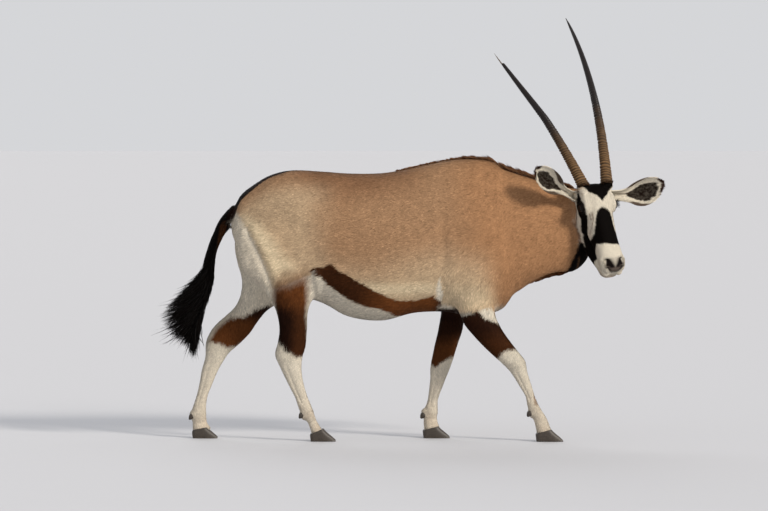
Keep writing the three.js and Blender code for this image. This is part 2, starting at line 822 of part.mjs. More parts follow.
for (const [name, marker] of Object.entries(MARKERS)) {
  const piece = pieces.find((solid) => holds(solid, marker));
  if (!piece) throw new Error(`no piece at the marker of ${name}`);
  addMesh(name, geometryOf(piece), coatOf(name));
}

for (const [name, { root, tip }] of Object.entries(EARS)) {
  const middle = root.clone().lerp(tip, 0.55);
  addMesh(`ear_${name}`, geometryOf(nearest(pieces, middle)), coatOf('ear'));
}

for (const [name, foot] of Object.entries(FEET)) {
  for (const [which, side] of [['outer', Math.sign(foot.heel.y)], ['inner', -Math.sign(foot.heel.y)]]) {
    addMesh(`hoof_${name}_${which}`, geometryOf(claw(foot, side)), hoofHorn);
    const dew = nearest(pieces, dewclawPlace(name, side).add(vector(-12, 0, 0)));
    addMesh(`dewclaw_${name}_${which}`, geometryOf(dew), hoofHorn);
  }
}

const headGroup = new THREE.Group();
headGroup.applyMatrix4(HEAD);
model.add(headGroup);
for (const [name, side] of [['right', -1], ['left', 1]]) {
  const ball = solidOf(new THREE.SphereGeometry(EYE_RADIUS, EYE_SIDES, EYE_SIDES * 0.6));
  const eye = addMesh(`eye_${name}`, geometryOf(ball), eyeSurface);
  headGroup.add(eye);
  eye.position.copy(eyePlace(side));
}

// The origin stands at the middle of the footprint, on the floor

const bounds = new THREE.Box3().setFromObject(model);
const centre = bounds.getCenter(vector(0, 0, 0));
model.position.set(-centre.x, -centre.y, -bounds.min.z);

const gemsbok = new THREE.Group();
gemsbok.add(model);

export default gemsbok;
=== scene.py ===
"""A gemsbok at life size: skin, coat, horns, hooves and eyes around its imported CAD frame.

Shapes are given in the measuring millimetres that the animal was drawn in: +X from tail
to chest, -Y the animal's right side, soles at Z = 0. FRAME_SHIFT carries them to the frame.
"""

import math

import bmesh
import bpy
import numpy as np
from mathutils import Matrix, Vector
from mathutils.bvhtree import BVHTree


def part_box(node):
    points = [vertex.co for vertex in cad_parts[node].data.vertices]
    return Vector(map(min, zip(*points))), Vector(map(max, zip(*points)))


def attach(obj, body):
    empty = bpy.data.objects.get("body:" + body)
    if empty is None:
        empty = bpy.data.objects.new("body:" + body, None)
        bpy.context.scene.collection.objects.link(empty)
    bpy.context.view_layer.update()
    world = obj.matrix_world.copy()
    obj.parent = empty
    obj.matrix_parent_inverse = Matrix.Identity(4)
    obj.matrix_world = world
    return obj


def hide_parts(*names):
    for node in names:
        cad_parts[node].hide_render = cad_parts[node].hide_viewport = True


bl_info = {
    "name": "Gemsbok",
    "version": (1, 0, 0),
    "blender": (4, 5, 0),
    "location": "View3D > Sidebar > Gemsbok",
    "description": "Dresses a life-size gemsbok with skin, coat, horns, hooves and eyes",
    "category": "Add Mesh",
}

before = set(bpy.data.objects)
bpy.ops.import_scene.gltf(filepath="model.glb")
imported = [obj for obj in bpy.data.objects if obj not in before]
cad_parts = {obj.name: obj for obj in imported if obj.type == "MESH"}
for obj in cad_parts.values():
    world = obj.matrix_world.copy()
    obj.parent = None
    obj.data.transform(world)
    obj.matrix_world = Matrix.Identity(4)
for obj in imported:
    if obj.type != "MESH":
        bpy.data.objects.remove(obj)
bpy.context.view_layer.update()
BODY = "root"
MM = 0.001

# Outlines with a row for each station along a form:
# front or top edge x, z, rear or under edge x, z, half width
TORSO = [
    [-690, 985, -688, 890, 36], [-660, 1046, -655, 800, 104], [-611, 1087, -590, 690, 142],
    [-534, 1132, -490, 632, 168], [-448, 1153, -397, 612, 182], [-320, 1149, -303, 580, 194],
    [-192, 1140, -201, 527, 206], [-43, 1143, -56, 509, 212], [107, 1172, 85, 542, 204],
    [235, 1198, 222, 545, 190], [342, 1202, 363, 525, 176], [436, 1183, 465, 578, 148],
    [480, 1120, 500, 660, 100],
]

NECK = [
    [250, 1170, 390, 560, 130], [371, 1185, 488, 614, 134], [491, 1150, 595, 673, 116],
    [606, 1114, 688, 709, 98], [700, 1090, 770, 722, 82], [770, 1078, 818, 764, 72],
    [808, 1070, 850, 850, 60],
]
NECK_SIDE = [0, 0, 4, 18, 34, 38, 24]

HIND_RIGHT = [
    [-404, 1010, -640, 960, 28], [-353, 857, -662, 835, 76], [-323, 708, -638, 721, 76],
    [-338, 632, -574, 653, 68], [-366, 551, -523, 581, 52], [-374, 474, -493, 487, 38],
    [-380, 411, -499, 419, 33], [-393, 360, -510, 368, 33], [-395, 304, -491, 313, 30],
    [-383, 236, -455, 236, 25], [-366, 181, -425, 177, 22], [-353, 139, -404, 130, 26],
    [-332, 92, -374, 75, 25], [-312, 52, -356, 34, 32],
]

HIND_LEFT = [
    [-407, 1010, -660, 959, 28], [-407, 808, -680, 830, 76], [-425, 658, -662, 714, 76],
    [-480, 589, -661, 650, 68], [-545, 547, -682, 581, 54], [-588, 499, -729, 529, 42],
    [-622, 452, -776, 482, 35], [-665, 409, -802, 439, 33], [-708, 371, -813, 401, 33],
    [-734, 332, -817, 349, 31], [-759, 285, -832, 298, 28], [-781, 233, -845, 229, 25],
    [-807, 165, -860, 165, 22], [-813, 113, -873, 109, 26], [-806, 72, -874, 66, 26],
    [-797, 50, -870, 36, 32],
]

FRONT_RIGHT = [
    [403, 1050, 284, 1030, 30], [458, 899, 233, 878, 62], [458, 721, 225, 708, 66],
    [416, 581, 255, 589, 56], [418, 534, 289, 505, 48], [446, 492, 327, 456, 43],
    [480, 441, 369, 411, 40], [518, 390, 424, 360, 38], [552, 343, 454, 335, 38],
    [565, 296, 488, 296, 30], [582, 246, 522, 241, 25], [599, 190, 552, 190, 22],
    [613, 148, 567, 144, 27], [650, 97, 588, 86, 26], [664, 52, 604, 36, 34],
]

FRONT_LEFT = [
    [417, 1050, 271, 1030, 30], [442, 872, 215, 851, 62], [408, 679, 190, 679, 64],
    [314, 581, 198, 593, 54], [301, 520, 193, 516, 48], [292, 465, 183, 456, 43],
    [271, 404, 170, 396, 40], [251, 344, 159, 336, 38], [241, 306, 151, 301, 35],
    [219, 246, 148, 250, 26], [189, 164, 138, 164, 22], [183, 117, 129, 121, 27],
    [185, 84, 120, 87, 27], [190, 52, 126, 36, 34],
]

LEG_OUT_HIND = 100
LEG_OUT_FRONT = 110
# A place on a leg, along it from one joint to the next and across half of it, is scaled by
# these to be near millimetres
LEG_SPAN = 200
LEG_HALF = 45

# Each leg: its rows, the y of its middle, and the rows of its stifle or elbow,
# hock or knee, fetlock and coronet, which carry a marking from one leg to the other
LEGS = {
    "hind_right": (HIND_RIGHT, -LEG_OUT_HIND, [2, 6.5, 11, 13]),
    "hind_left": (HIND_LEFT, LEG_OUT_HIND, [2, 7.5, 13, 15]),
    "front_right": (FRONT_RIGHT, -LEG_OUT_FRONT, [3, 8, 12, 14]),
    "front_left": (FRONT_LEFT, LEG_OUT_FRONT, [3, 7, 11, 13]),
}

DOCK = [
    [-655, 1005, -655, 925, 36], [-679, 1006, -682, 931, 34], [-705, 989, -708, 918, 30],
    [-734, 956, -730, 888, 26], [-760, 914, -747, 850, 22], [-786, 854, -760, 811, 20],
    [-807, 790, -769, 760, 18], [-818, 726, -777, 700, 15], [-826, 640, -800, 628, 11],
]

# The head's own frame: x from poll to muzzle, y to its left, z out of the forehead

HEAD_AT = np.array([841.0, -75.0, 1155.0])
HEAD_PITCH = 19.2
HEAD_YAW = 24.7
HEAD_ROLL = -6.6
# How deep under the forehead the line lies that degrees round the head are measured from
HEAD_CORE = 75
# A place on the cut behind the jaw where the neck ends, and the way out of it to the muzzle
HEAD_JOIN = np.array([780, 38, 905])
HEAD_JOIN_WAY = np.array([0.765, -0.615, -0.193])
# Nostrils and lips lie further down the head than this
MUZZLE_FROM = 340

SKULL = [
    [42, -66, 50, -108, 24], [48, -40, 62, -130, 46], [60, -17, 78, -145, 64],
    [84, -1, 94, -154, 73], [120, 5, 124, -158, 73], [160, 2, 160, -160, 68],
    [205, -3, 205, -155, 62], [250, -8, 250, -140, 57], [300, -13, 300, -122, 54],
    [350, -17, 350, -110, 55], [395, -20, 393, -101, 57], [428, -30, 424, -95, 52],
    [448, -50, 444, -84, 34],
]

JAW = [
    [95, -110, 98, -172, 40], [130, -100, 136, -199, 54], [180, -100, 190, -204, 58],
    [240, -95, 248, -200, 61], [300, -90, 308, -188, 59], [350, -90, 358, -167, 52],
    [400, -90, 408, -140, 44], [434, -90, 438, -128, 41], [452, -96, 454, -118, 28],
]

# Full places on each side of the head: middle of the right one mirrored, then radii
HEAD_BULGES = [
    ([176, 52, -130], [70, 20, 52]), ([150, 69, -42], [36, 25, 29]), ([136, 58, -24], [42, 22, 17]),
    ([70, 55, -18], [30, 29, 19]), ([410, 36, -52], [32, 23, 28]), ([428, 30, -80], [30, 23, 17]),
    ([84, 64, -76], [30, 20, 28]),
]

EYE_AT = np.array([150.0, 70.0, -42.0])
EYE_AXIS = np.array([0.2, 0.93, 0.3])
EYE_RADIUS = 22
LID_THICKNESS = 2.4
EYE_OPENING = (18.5, 11.5)
# How much the lids' opening slants down towards the muzzle
EYE_SLANT = 0.18

HORN_ROOT = np.array([64.0, 55.0, -14.0])
HORN_LENGTHS = {"right": 770, "left": 920}
HORN_RADII = [
    [0, 25.5], [0.07, 22.8], [0.15, 20.6], [0.3, 17.7], [0.45, 15.4], [0.55, 14], [0.65, 12.2],
    [0.75, 10.2], [0.85, 8.2], [0.93, 5.6], [0.98, 2.8], [1, 0.5],
]
HORN_RING_SHARE = 0.6
HORN_RINGS = 46
HORN_STEPS = 520
HORN_SIDES = 28
# The right horn's tip is chipped back to a thin sliver from here on
HORN_CHIP = 0.9

# Half width and half angle in degrees of an ear's cup, from its root to its tip
EAR_PROFILE = [
    [24, 125], [24, 120], [26, 112], [33, 100], [50, 90], [59, 78], [58, 68], [46, 58], [15, 46],
]
EAR_WALL = 4

HOOF_LENGTH = 112
HOOF_WIDTH = 33
CLAW_GAP = 3
CLAW_TURN = 4
# Radii of a dewclaw, and how far it leans, in degrees
DEWCLAW = (12, 9, 17)
DEWCLAW_LEAN = 38
FEET = {
    "front_right": ([603, -LEG_OUT_FRONT, 0], FRONT_RIGHT[-1], 1.0),
    "front_left": ([124, LEG_OUT_FRONT, 0], FRONT_LEFT[-1], 1.0),
    "hind_right": ([-358, -LEG_OUT_HIND, 0], HIND_RIGHT[-1], 0.94),
    "hind_left": ([-868, LEG_OUT_HIND, 0], HIND_LEFT[-1], 0.94),
}
FETLOCKS = {
    "front_right": [574, -LEG_OUT_FRONT, 120],
    "front_left": [122, LEG_OUT_FRONT, 98],
    "hind_right": [-397, -LEG_OUT_HIND, 112],
    "hind_left": [-873, LEG_OUT_HIND, 94],
}

MANE_LINE = [[10, 0, 1151], [107, 0, 1172], [235, 0, 1198], [342, 0, 1203], [430, 1, 1186],
             [491, 4, 1160], [606, 18, 1118], [700, 34, 1092], [770, 38, 1080]]

# The tail's middle line, and where its brush's tips lie from the uppermost to the foremost
BRUSH_LINE = [[-770, 842], [-789, 761], [-799, 690], [-814, 620], [-833, 555], [-850, 505]]
BRUSH_TIPS = [[-930, 604], [-1000, 536], [-985, 462], [-948, 424], [-905, 396], [-862, 350],
              [-842, 430]]
BRUSH_HALF_WIDTH = 36

# Longer black hair on the outer side of each hock: x, y, z
HOCK_TUFTS = (
    [[-484, -122, 500], [-470, -125, 452], [-452, -128, 416]],
    [[-722, 122, 532], [-735, 126, 500], [-742, 128, 466]],
)

SKIN_TRIANGLES = 186000
COAT_COUNTS = {
    "torso_right": 46000, "torso_left": 46000, "neck": 42000, "head": 42000,
    "legs_front": 38000, "legs_hind": 46000,
}
EAR_TUFTS = 14000
MANE_HAIRS = 6500
FRINGE_HAIRS = 2200
DOCK_HAIRS = 5200
LASHES = 46
HORN_BASE_HAIRS = 300
# How deep a round strand is for its half width
STRAND_DEPTH = 0.6
# Tones from root to tip of a tuft, on the body and on the ears. The darker root is
# painted shade where the tufts lie over each other
COAT_TONES = (0.82, 1.0, 1.08)
EAR_TONES = (0.9, 1.0, 1.05)

# Seams in the side view, x and z: the coat's neck piece lies in front of the first line, and
# the hind legs' piece lies below the second
NECK_SEAM = ((314, 1240), (521, 582))
THIGH_SEAM = ((-328, 742), (-720, 800))

# Markings in the side view, x and z

FLANK_STRIPE = [
    [-362, 728], [-345, 744], [-297, 746], [-263, 760], [-233, 732], [-191, 706], [-149, 684],
    [-106, 659], [-64, 637], [-22, 617], [21, 603], [63, 601], [105, 605], [148, 618],
    [169, 622], [199, 600], [196, 470], [148, 480], [63, 492], [21, 526], [-22, 553],
    [-64, 566], [-106, 575], [-149, 587], [-191, 608], [-233, 634], [-276, 668], [-310, 702],
    [-335, 716],
]
BELLY_WHITE = [
    [-335, 712], [-310, 702], [-276, 668], [-233, 634], [-191, 608], [-149, 587], [-106, 575],
    [-64, 566], [-22, 562], [21, 558], [63, 553], [148, 558], [200, 552], [420, 560], [420, 380],
    [-600, 380], [-560, 640], [-420, 690], [-369, 712],
]
RUMP_PALE = [
    [-720, 993], [-671, 979], [-618, 902], [-575, 817], [-533, 719], [-501, 606], [-512, 571],
    [-575, 540], [-700, 540], [-760, 700], [-730, 902],
]
# Painted highlight: a lit cream band down the rear of the thigh, over the flank's fawn
THIGH_HIGHLIGHT = [
    [-637, 959], [-574, 931], [-518, 868], [-469, 791], [-420, 741], [-473, 718], [-500, 664],
    [-521, 692], [-560, 798], [-616, 889],
]
LOWER_SHOULDER = [
    [205, 661], [395, 661], [423, 598], [402, 572], [352, 562], [282, 548], [211, 566],
]
ELBOW_SLIVER = [[180, 611], [182, 654], [192, 703], [201, 668], [206, 632], [197, 592]]
CROUP_BLACK = [
    [-760, 900], [-716, 948], [-694, 984], [-652, 1030], [-592, 1074], [-530, 1112],
    [-450, 1138], [-405, 1150], [-405, 1200], [-760, 1200],
]
HIND_BROWN = [
    [-518, 600], [-512, 690], [-480, 800], [-420, 820], [-366, 790], [-366, 677], [-371, 607],
    [-375, 522], [-373, 438], [-364, 368], [-420, 359], [-456, 393], [-484, 421], [-519, 452],
]
HIND_FRONT_WHITE = [
    [-376, 712], [-342, 714], [-316, 692], [-336, 621], [-350, 551], [-358, 495], [-367, 424],
    [-377, 523], [-372, 607], [-368, 677],
]
# Brown on the inner hind leg; its upper part takes in the inner thigh where it lies in shade, and
# is painted shade there
HIND_INNER_BROWN_AND_SHADE = [
    [-796, 418], [-768, 468], [-746, 493], [-703, 520], [-646, 528], [-596, 560], [-528, 585],
    [-514, 556], [-561, 522], [-599, 479], [-622, 436], [-679, 402], [-725, 398], [-753, 408],
]
FRONT_DARK = [
    [201, 569], [233, 576], [261, 552], [282, 545], [317, 556], [356, 561], [385, 532],
    [427, 518], [473, 477], [519, 399], [480, 397], [455, 383], [439, 364], [427, 342],
    [381, 385], [303, 470], [268, 484], [201, 540],
]
FRONT_WHITE_PATCH = [[356, 565], [406, 572], [423, 548], [437, 512], [384, 533]]
FRONT_INNER_DARK = [
    [190, 600], [320, 600], [308, 500], [297, 457], [276, 421], [262, 350], [237, 353],
    [208, 335], [172, 304], [150, 335], [150, 400], [160, 500],
]
CANNON_SPOT = [[587, 206], [601, 195], [606, 156], [593, 163]]
THROAT_BLACK = [
    [716, 690], [781, 700], [806, 730], [836, 768], [840, 800], [812, 824], [800, 862],
    [790, 862], [786, 836], [778, 806], [764, 772], [748, 738], [728, 712],
]

# Markings on the head: x from poll to muzzle, and degrees round it from the forehead's
# middle. The blaze has a left and a right edge, and the rest is the same on both sides.

FOREHEAD_DARK = [
    [58, -48], [83, -39], [104, -27], [122, -10], [139, -1], [147, 4], [135, 13], [118, 30],
    [100, 41], [84, 49], [70, 52], [60, 54], [20, 56], [-20, 56], [-20, -56], [20, -56], [42, -53],
]
BLAZE = [
    [173, 0], [178, -13], [190, -24], [215, -33], [242, -43], [262, -51], [276, -58],
    [290, -66], [310, -66], [319, -64], [323, -50], [326, -35], [331, -14], [336, 5],
    [338, 31], [338, 66], [310, 66], [290, 52], [270, 38], [255, 33], [216, 29], [197, 23],
    [183, 15],
]
EYE_STRIPE = [
    [46, 68], [89, 67], [112, 63], [128, 56], [150, 53], [166, 53], [179, 56], [190, 63],
    [207, 69], [234, 87], [262, 110], [276, 119], [287, 118], [288, 100], [281, 76],
    [276, 57], [300, 55], [319, 64], [330, 74], [345, 89], [357, 110], [367, 127],
    [380, 140], [388, 160], [384, 200], [318, 200], [312, 172], [303, 150], [297, 138],
    [260, 137], [233, 130], [211, 117], [196, 110], [180, 108], [161, 113], [140, 112],
    [124, 106], [110, 92], [95, 77], [78, 72], [46, 74],
]
CHEEK_WHITE = [
    [80, 72], [100, 82], [112, 96], [126, 110], [150, 114], [178, 110], [200, 114], [222, 126],
    [250, 137], [294, 139], [306, 152], [312, 166], [278, 151], [239, 142], [197, 133],
    [166, 121], [135, 118], [118, 112], [100, 98], [84, 84],
]
# A thin brown line painted as shade where the jaw's edge meets the neck, and the lines in the white
# before the eye
JAW_EDGE_SHADE = [[135, 120], [166, 123], [197, 135], [239, 144], [278, 153], [308, 166]]
TEAR_LINES = ([[187, 41], [205, 42], [219, 45], [246, 61], [264, 88]], [[186, 51], [212, 52]])
# The pad between the nostrils, its lower edge, the nostrils and the mouth: x, y, z
NOSE_PAD = [[419, 31, -30], [432, 18, -40], [438, 0, -46]]
NOSE_EDGE = [[428, 36, -37], [442, 16, -54], [447, 0, -62]]
NOSTRIL = [[398, 44, -28], [412, 42, -28], [427, 34, -33]]
LIP_LINE = [[458, 0, -92], [454, 22, -89], [445, 40, -86], [424, 51, -93], [394, 57, -102],
            [350, 59, -110]]

# Carving in the side view of both flanks: line, radius and height
FLANK_CARVING = [
    ([[206, 960], [207, 774], [198, 648], [200, 590]], 22, -4),
    ([[340, 1090], [320, 960], [300, 820]], 60, 5),
    ([[420, 900], [380, 780], [340, 690]], 50, 5),
    ([[262, 760], [250, 660]], 34, 4),
    ([[-330, 770], [-350, 830], [-390, 900]], 40, -5),
    ([[-325, 730], [-262, 748], [-230, 728]], 18, 4),
    ([[-480, 1060], [-430, 1010], [-400, 960]], 60, 5),
    ([[-520, 860], [-470, 780], [-420, 720]], 60, 7),
    ([[-630, 903], [-574, 791], [-539, 706], [-508, 615]], 15, -6),
    ([[-596, 880], [-540, 790], [-500, 690]], 26, 6),
    ([[-250, 1080], [-100, 1090], [60, 1110]], 50, 4),
    ([[-330, 720], [-322, 640], [-335, 560]], 16, 5),
]
# The same for the parts that face the tail or the head
END_CARVING = [
    ([[-700, 905], [-690, 840], [-672, 760]], 62, 12),
    ([[430, 545], [480, 585], [540, 630]], 42, 14),
]

# The head's own frame: line, radius, height, and how much the way to the side counts
HEAD_CARVING = [
    ([[110, 62, -12], [150, 74, -16], [178, 68, -28]], 10, 3.5, 1),
    ([[176, 78, -46], [205, 62, -64]], 6, -3, 1),
    ([[200, 58, -92], [290, 52, -88]], 12, 2.5, 1),
    ([[230, 42, -22], [330, 40, -34]], 12, -2, 1),
    (NOSTRIL, 5.5, -11, 0.35),
    (NOSE_EDGE, 4, -2, 0.6),
    ([[392, 48, -46], [416, 52, -50], [436, 38, -56]], 8, 3, 1),
    ([[396, 30, -24], [418, 28, -30]], 9, 2, 1),
    ([[447, 0, -58], [452, 0, -92]], 3, -2.5, 1),
]
# Along a leg, from stifle or elbow at 0 to coronet at 3: how far it swells or slims
LEG_SWELL = [
    [-1, 0], [0.5, 0], [0.85, 1.5], [1.0, 2.5], [1.2, 0], [1.45, -2], [1.75, -2], [1.93, 2],
    [2.05, 3], [2.25, 0.5], [2.5, -2.5], [2.8, -1], [3.0, 1.5],
]

# The studio's floor and its camera, in metres, with the lens and sensor in millimetres
FLOOR_RADIUS = 150
CAMERA_AT = (-0.121, -20.135, 1.4)
CAMERA_AIM = (-0.121, -0.135, 0.788)
CAMERA_LENS = 219.4
CAMERA_SENSOR = 36


# Small helpers


def linear(colour):
    """A linear colour from an sRGB hex value."""
    shares = [int(colour[i : i + 2], 16) / 255 for i in (1, 3, 5)]
    return tuple(s / 12.92 if s <= 0.04045 else ((s + 0.055) / 1.055) ** 2.4 for s in shares)


def ease(low, high, value):
    """0 at low and 1 at high, with a soft start and end. low may be the larger."""
    share = np.clip((value - low) / (high - low), 0, 1)
    return share * share * (3 - 2 * share)


def unit(ways):
    return ways / np.maximum(np.linalg.norm(ways, axis=-1, keepdims=True), 1e-9)


def spline(points, shares):
    """Places on a centripetal curve through the points, at shares of its count of spans."""
    points = np.asarray(points, float)
    ends = [2 * points[:1] - points[1:2], points, 2 * points[-1:] - points[-2:-1]]
    padded = np.concatenate(ends)
    place = np.clip(np.asarray(shares, float), 0, 1) * (len(points) - 1)
    span = np.minimum(place.astype(int), len(points) - 2)
    w = (place - span)[:, None]
    p0, p1, p2, p3 = (padded[span + i] for i in range(4))
    d0, d1, d2 = (
        np.maximum(np.sum((b - a) ** 2, axis=1) ** 0.25, 1e-4)[:, None]
        for a, b in ((p0, p1), (p1, p2), (p2, p3))
    )
    t1 = ((p1 - p0) / d0 - (p2 - p0) / (d0 + d1) + (p2 - p1) / d1) * d1
    t2 = ((p2 - p1) / d1 - (p3 - p1) / (d1 + d2) + (p3 - p2) / d2) * d1
    c2 = -3 * p1 + 3 * p2 - 2 * t1 - t2
    c3 = 2 * p1 - 2 * p2 + t1 + t2
    return p1 + t1 * w + c2 * w**2 + c3 * w**3


def noise(points, size, seed):
    """Smooth noise from -1 to 1 whose bumps are about size across."""
    cells = np.asarray(points, float) / size + 1000
    low = np.floor(cells).astype(np.int64)
    f = cells - low
    f = f * f * (3 - 2 * f)
    total = np.zeros(len(cells))
    for corner in range(8):
        step = np.array([corner & 1, corner >> 1 & 1, corner >> 2 & 1])
        x, y, z = (low + step).T
        bits = (x * 73856093 ^ y * 19349663 ^ z * 83492791 ^ seed * 2654435761) & 0x7FFFFFFF
        bits = (bits ^ bits >> 13) * 1274126177 & 0x7FFFFFFF
        value = (bits ^ bits >> 16) % 65536 / 32767.5 - 1
        weight = np.prod(np.where(step, f, 1 - f), axis=1)
        total += value * weight
    return total


def inside(places, outline, soft):
    """1 inside a closed outline, 0 outside it, with an edge that is soft either way."""
    outline = np.asarray(outline, float)
    nearest = np.full(len(places), 1e9)
    crossed = np.zeros(len(places), bool)
    for a, b in zip(outline, np.roll(outline, -1, axis=0)):
        along = b - a
        share = np.clip((places - a) @ along / max(along @ along, 1e-9), 0, 1)
        away = places - a - share[:, None] * along
        nearest = np.minimum(nearest, np.hypot(away[:, 0], away[:, 1]))
        spans = (a[1] > places[:, 1]) != (b[1] > places[:, 1])
        rise = along[1] if abs(along[1]) > 1e-9 else 1e-9
        crossed ^= spans & (places[:, 0] < a[0] + (places[:, 1] - a[1]) * along[0] / rise)
    signed = np.where(crossed, nearest, -nearest)
    return ease(-soft, soft, signed)


def mix(base, colour, share):
    """Colours or ways that go from the base at share 0 to the other at 1."""
    base = np.asarray(base)
    return base + (np.asarray(colour) - base) * share[:, None]


def vectors(x, y, z):
    """Numbers and arrays side by side as the rows of one array."""
    return np.stack(np.broadcast_arrays(x, y, z), axis=-1).astype(float)


def line_way(line, shares, step=0.01):
    """Which way a curve through points runs at shares of its length."""
    ahead = spline(line, np.clip(shares + step, 0, 1))
    return unit(ahead - spline(line, np.clip(shares - step, 0, 1)))


def stroke(places, line, radius):
    """1 on a line through points, falling to 0 away from it."""
    line = np.asarray(line, float)
    nearest = np.full(len(places), 1e9)
    for a, b in zip(line[:-1], line[1:]):
        along = b - a
        share = np.clip((places - a) @ along / (along @ along), 0, 1)
        nearest = np.minimum(nearest, np.linalg.norm(places - a - share[:, None] * along, axis=1))
    return np.exp(-((nearest / radius) ** 2))


def near_line(sided, line, radius, depth=0.35):
    """A stroke that minds only a share, depth, of how far to the side a place lies."""
    return stroke(sided * [1, depth, 1], np.array(line) * [1, depth, 1], radius)


# The head's frame


def head_turn():
    """Columns are the head's own x, y and z in the model's frame."""
    pitch, yaw, roll = (math.radians(a) for a in (HEAD_PITCH, HEAD_YAW, HEAD_ROLL))
    facing = np.array([math.sin(yaw), -math.cos(yaw), 0])
    up = np.array([0, 0, 1])
    muzzle = facing * math.sin(pitch) - up * math.cos(pitch)
    brow = facing * math.cos(pitch) + up * math.sin(pitch)
    turn = np.array(Matrix.Rotation(roll, 3, "Y"))
    return turn @ np.array([muzzle, np.cross(brow, muzzle), brow]).T


HEAD_TURN = head_turn()


def from_head(places):
    return np.asarray(places, float) @ HEAD_TURN.T + HEAD_AT


def to_head(places):
    return (np.asarray(places, float) - HEAD_AT) @ HEAD_TURN


def on_side(place, side):
    """A place or direction given for the left, moved to side -1 or 1."""
    return np.asarray(place, float) * [1, side, 1]


def folded(local):
    """Places in the head's own frame, with its right side laid over its left."""
    return vectors(local[:, 0], np.abs(local[:, 1]), local[:, 2])


def eye_frame(side):
    """An eye's middle, the way it looks, and the ways to its front corner and upper lid."""
    axis = unit(on_side(EYE_AXIS, side))
    ahead = unit(np.array([1.0, 0, 0]) - axis * axis[0])
    return on_side(EYE_AT, side), axis, ahead, np.cross(ahead, axis) * side


def frame_shift():
    """From the eye's known place in both frames, in millimetres."""
    low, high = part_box("eye_right")
    return np.array((low + high) / 2) / MM - from_head(on_side(EYE_AT, -1))


FRAME_SHIFT = frame_shift()


def ears():
    """Each ear's root, tip and mouth's way, sag and slimness."""
    return {
        "right": (from_head([86, -72, -76]), np.array([594.0, -205, 1159]),
                  np.array([0, -1, 0.15]), 13, 11),
        "left": (from_head([94, 72, -76]), np.array([1145.0, -10, 1096]),
                 np.array([0.1, -1, -0.1]), 20, 0),
    }


# Sizes and colours that a user would change


def length_property(name, description, default, lowest, highest):
    """A length in metres, from values in millimetres."""
    return bpy.props.FloatProperty(
        name=name, description=description, default=default * MM, min=lowest * MM,
        max=highest * MM, unit="LENGTH")


def colour_property(name, description, default):
    return bpy.props.FloatVectorProperty(
        name=name, description=description, default=linear(default), subtype="COLOR")


class GemsbokSizes(bpy.types.PropertyGroup):
    """Sizes of the skin and the coat."""

    skin_grain: length_property(
        "Skin grain", "Edge of the cells that the skin is fused from", 4.2, 3, 12)
    coat_depth: length_property(
        "Coat depth", "How far the body's short coat stands off the skin", 2.6, 0, 12)
    hair_length: length_property("Body hair", "Length of a tuft on the body", 17, 5, 60)
    hair_width: length_property("Tuft width", "Width of a tuft on the body", 2.9, 1, 12)
    coat_share: bpy.props.FloatProperty(
        name="Coat density", description="Share of the full count of tufts",
        default=1.0, min=0.05, max=1.0, subtype="FACTOR")
    mane_length: length_property("Mane hair", "Length of a hair of the mane", 44, 10, 120)
    brush_strands: bpy.props.IntProperty(
        name="Tail strands", description="How many strands the tail's brush has",
        default=2600, min=200, max=6000)


class GemsbokColours(bpy.types.PropertyGroup):
    """Colours of the coat and horns."""

    flank: colour_property("Flank", "Fawn of the sides", "#9B795B")
    neck: colour_property("Neck", "Warmer fawn of the neck and shoulder", "#9B7352")
    spine: colour_property("Spine", "Browner hair along the back", "#7D5A41")
    # Cream is also the colour of the painted highlight down the rear of the thigh
    cream: colour_property("Cream", "Pale hair of the rump and thigh", "#CDBB9C")
    white: colour_property("White", "White of the face, belly and legs", "#CDC4B3")
    brown: colour_property("Brown", "Red-brown top of the leg patches", "#5E361A")
    stripe: colour_property("Stripe", "Flank stripe and leg bands", "#1F0F08")
    black: colour_property("Black", "Face, mane and tail", "#080504")
    horn: colour_property("Horn", "Ringed lower part of the horns", "#6E5233")
    horn_tip: colour_property("Horn tip", "Smooth upper part of the horns", "#1A1311")


def sizes():
    return bpy.context.scene.gemsbok_sizes


def colours():
    return bpy.context.scene.gemsbok_colours


# Objects


def finish_piece(name, mesh, material, nodes=()):
    """Puts a mesh, still in measuring millimetres, into the scene in the frame's metres."""
    mesh.transform(Matrix.Scale(MM, 4) @ Matrix.Translation(Vector(FRAME_SHIFT)))
    mesh.materials.append(material)
    mesh.shade_smooth()
    piece = bpy.data.objects.new(name, mesh)
    bpy.context.scene.collection.objects.link(piece)
    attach(piece, BODY)
    if nodes:
        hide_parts(*nodes)


def mesh_of(bm, name):
    """The bmesh as a mesh, with its faces turned outwards."""
    bmesh.ops.recalc_face_normals(bm, faces=bm.faces)
    mesh = bpy.data.meshes.new(name)
    bm.to_mesh(mesh)
    bm.free()
    return mesh


def read(items, name, width, kind=float):
    """One vector of each item of a mesh, as the rows of an array."""
    values = np.empty(len(items) * width, kind)
    items.foreach_get(name, values)
    return values.reshape(-1, width)


def read_places(mesh):
    return read(mesh.vertices, "co", 3)


def read_normals(mesh):
    return read(mesh.vertices, "normal", 3)


def read_edges(mesh):
    return read(mesh.edges, "vertices", 2, int)


def write_places(mesh, places):
    mesh.vertices.foreach_set("co", places.ravel())
    mesh.update()


def set_colours(mesh, name, values):
    rgba = np.ones((len(values), 4), np.float32)
    rgba[:, :3] = values
    mesh.attributes.new(name, "FLOAT_COLOR", "POINT").data.foreach_set("color", rgba.ravel())


def set_shares(mesh, name, values):
    shares = np.asarray(values, np.float32)
    mesh.attributes.new(name, "FLOAT", "POINT").data.foreach_set("value", shares)


# Forms


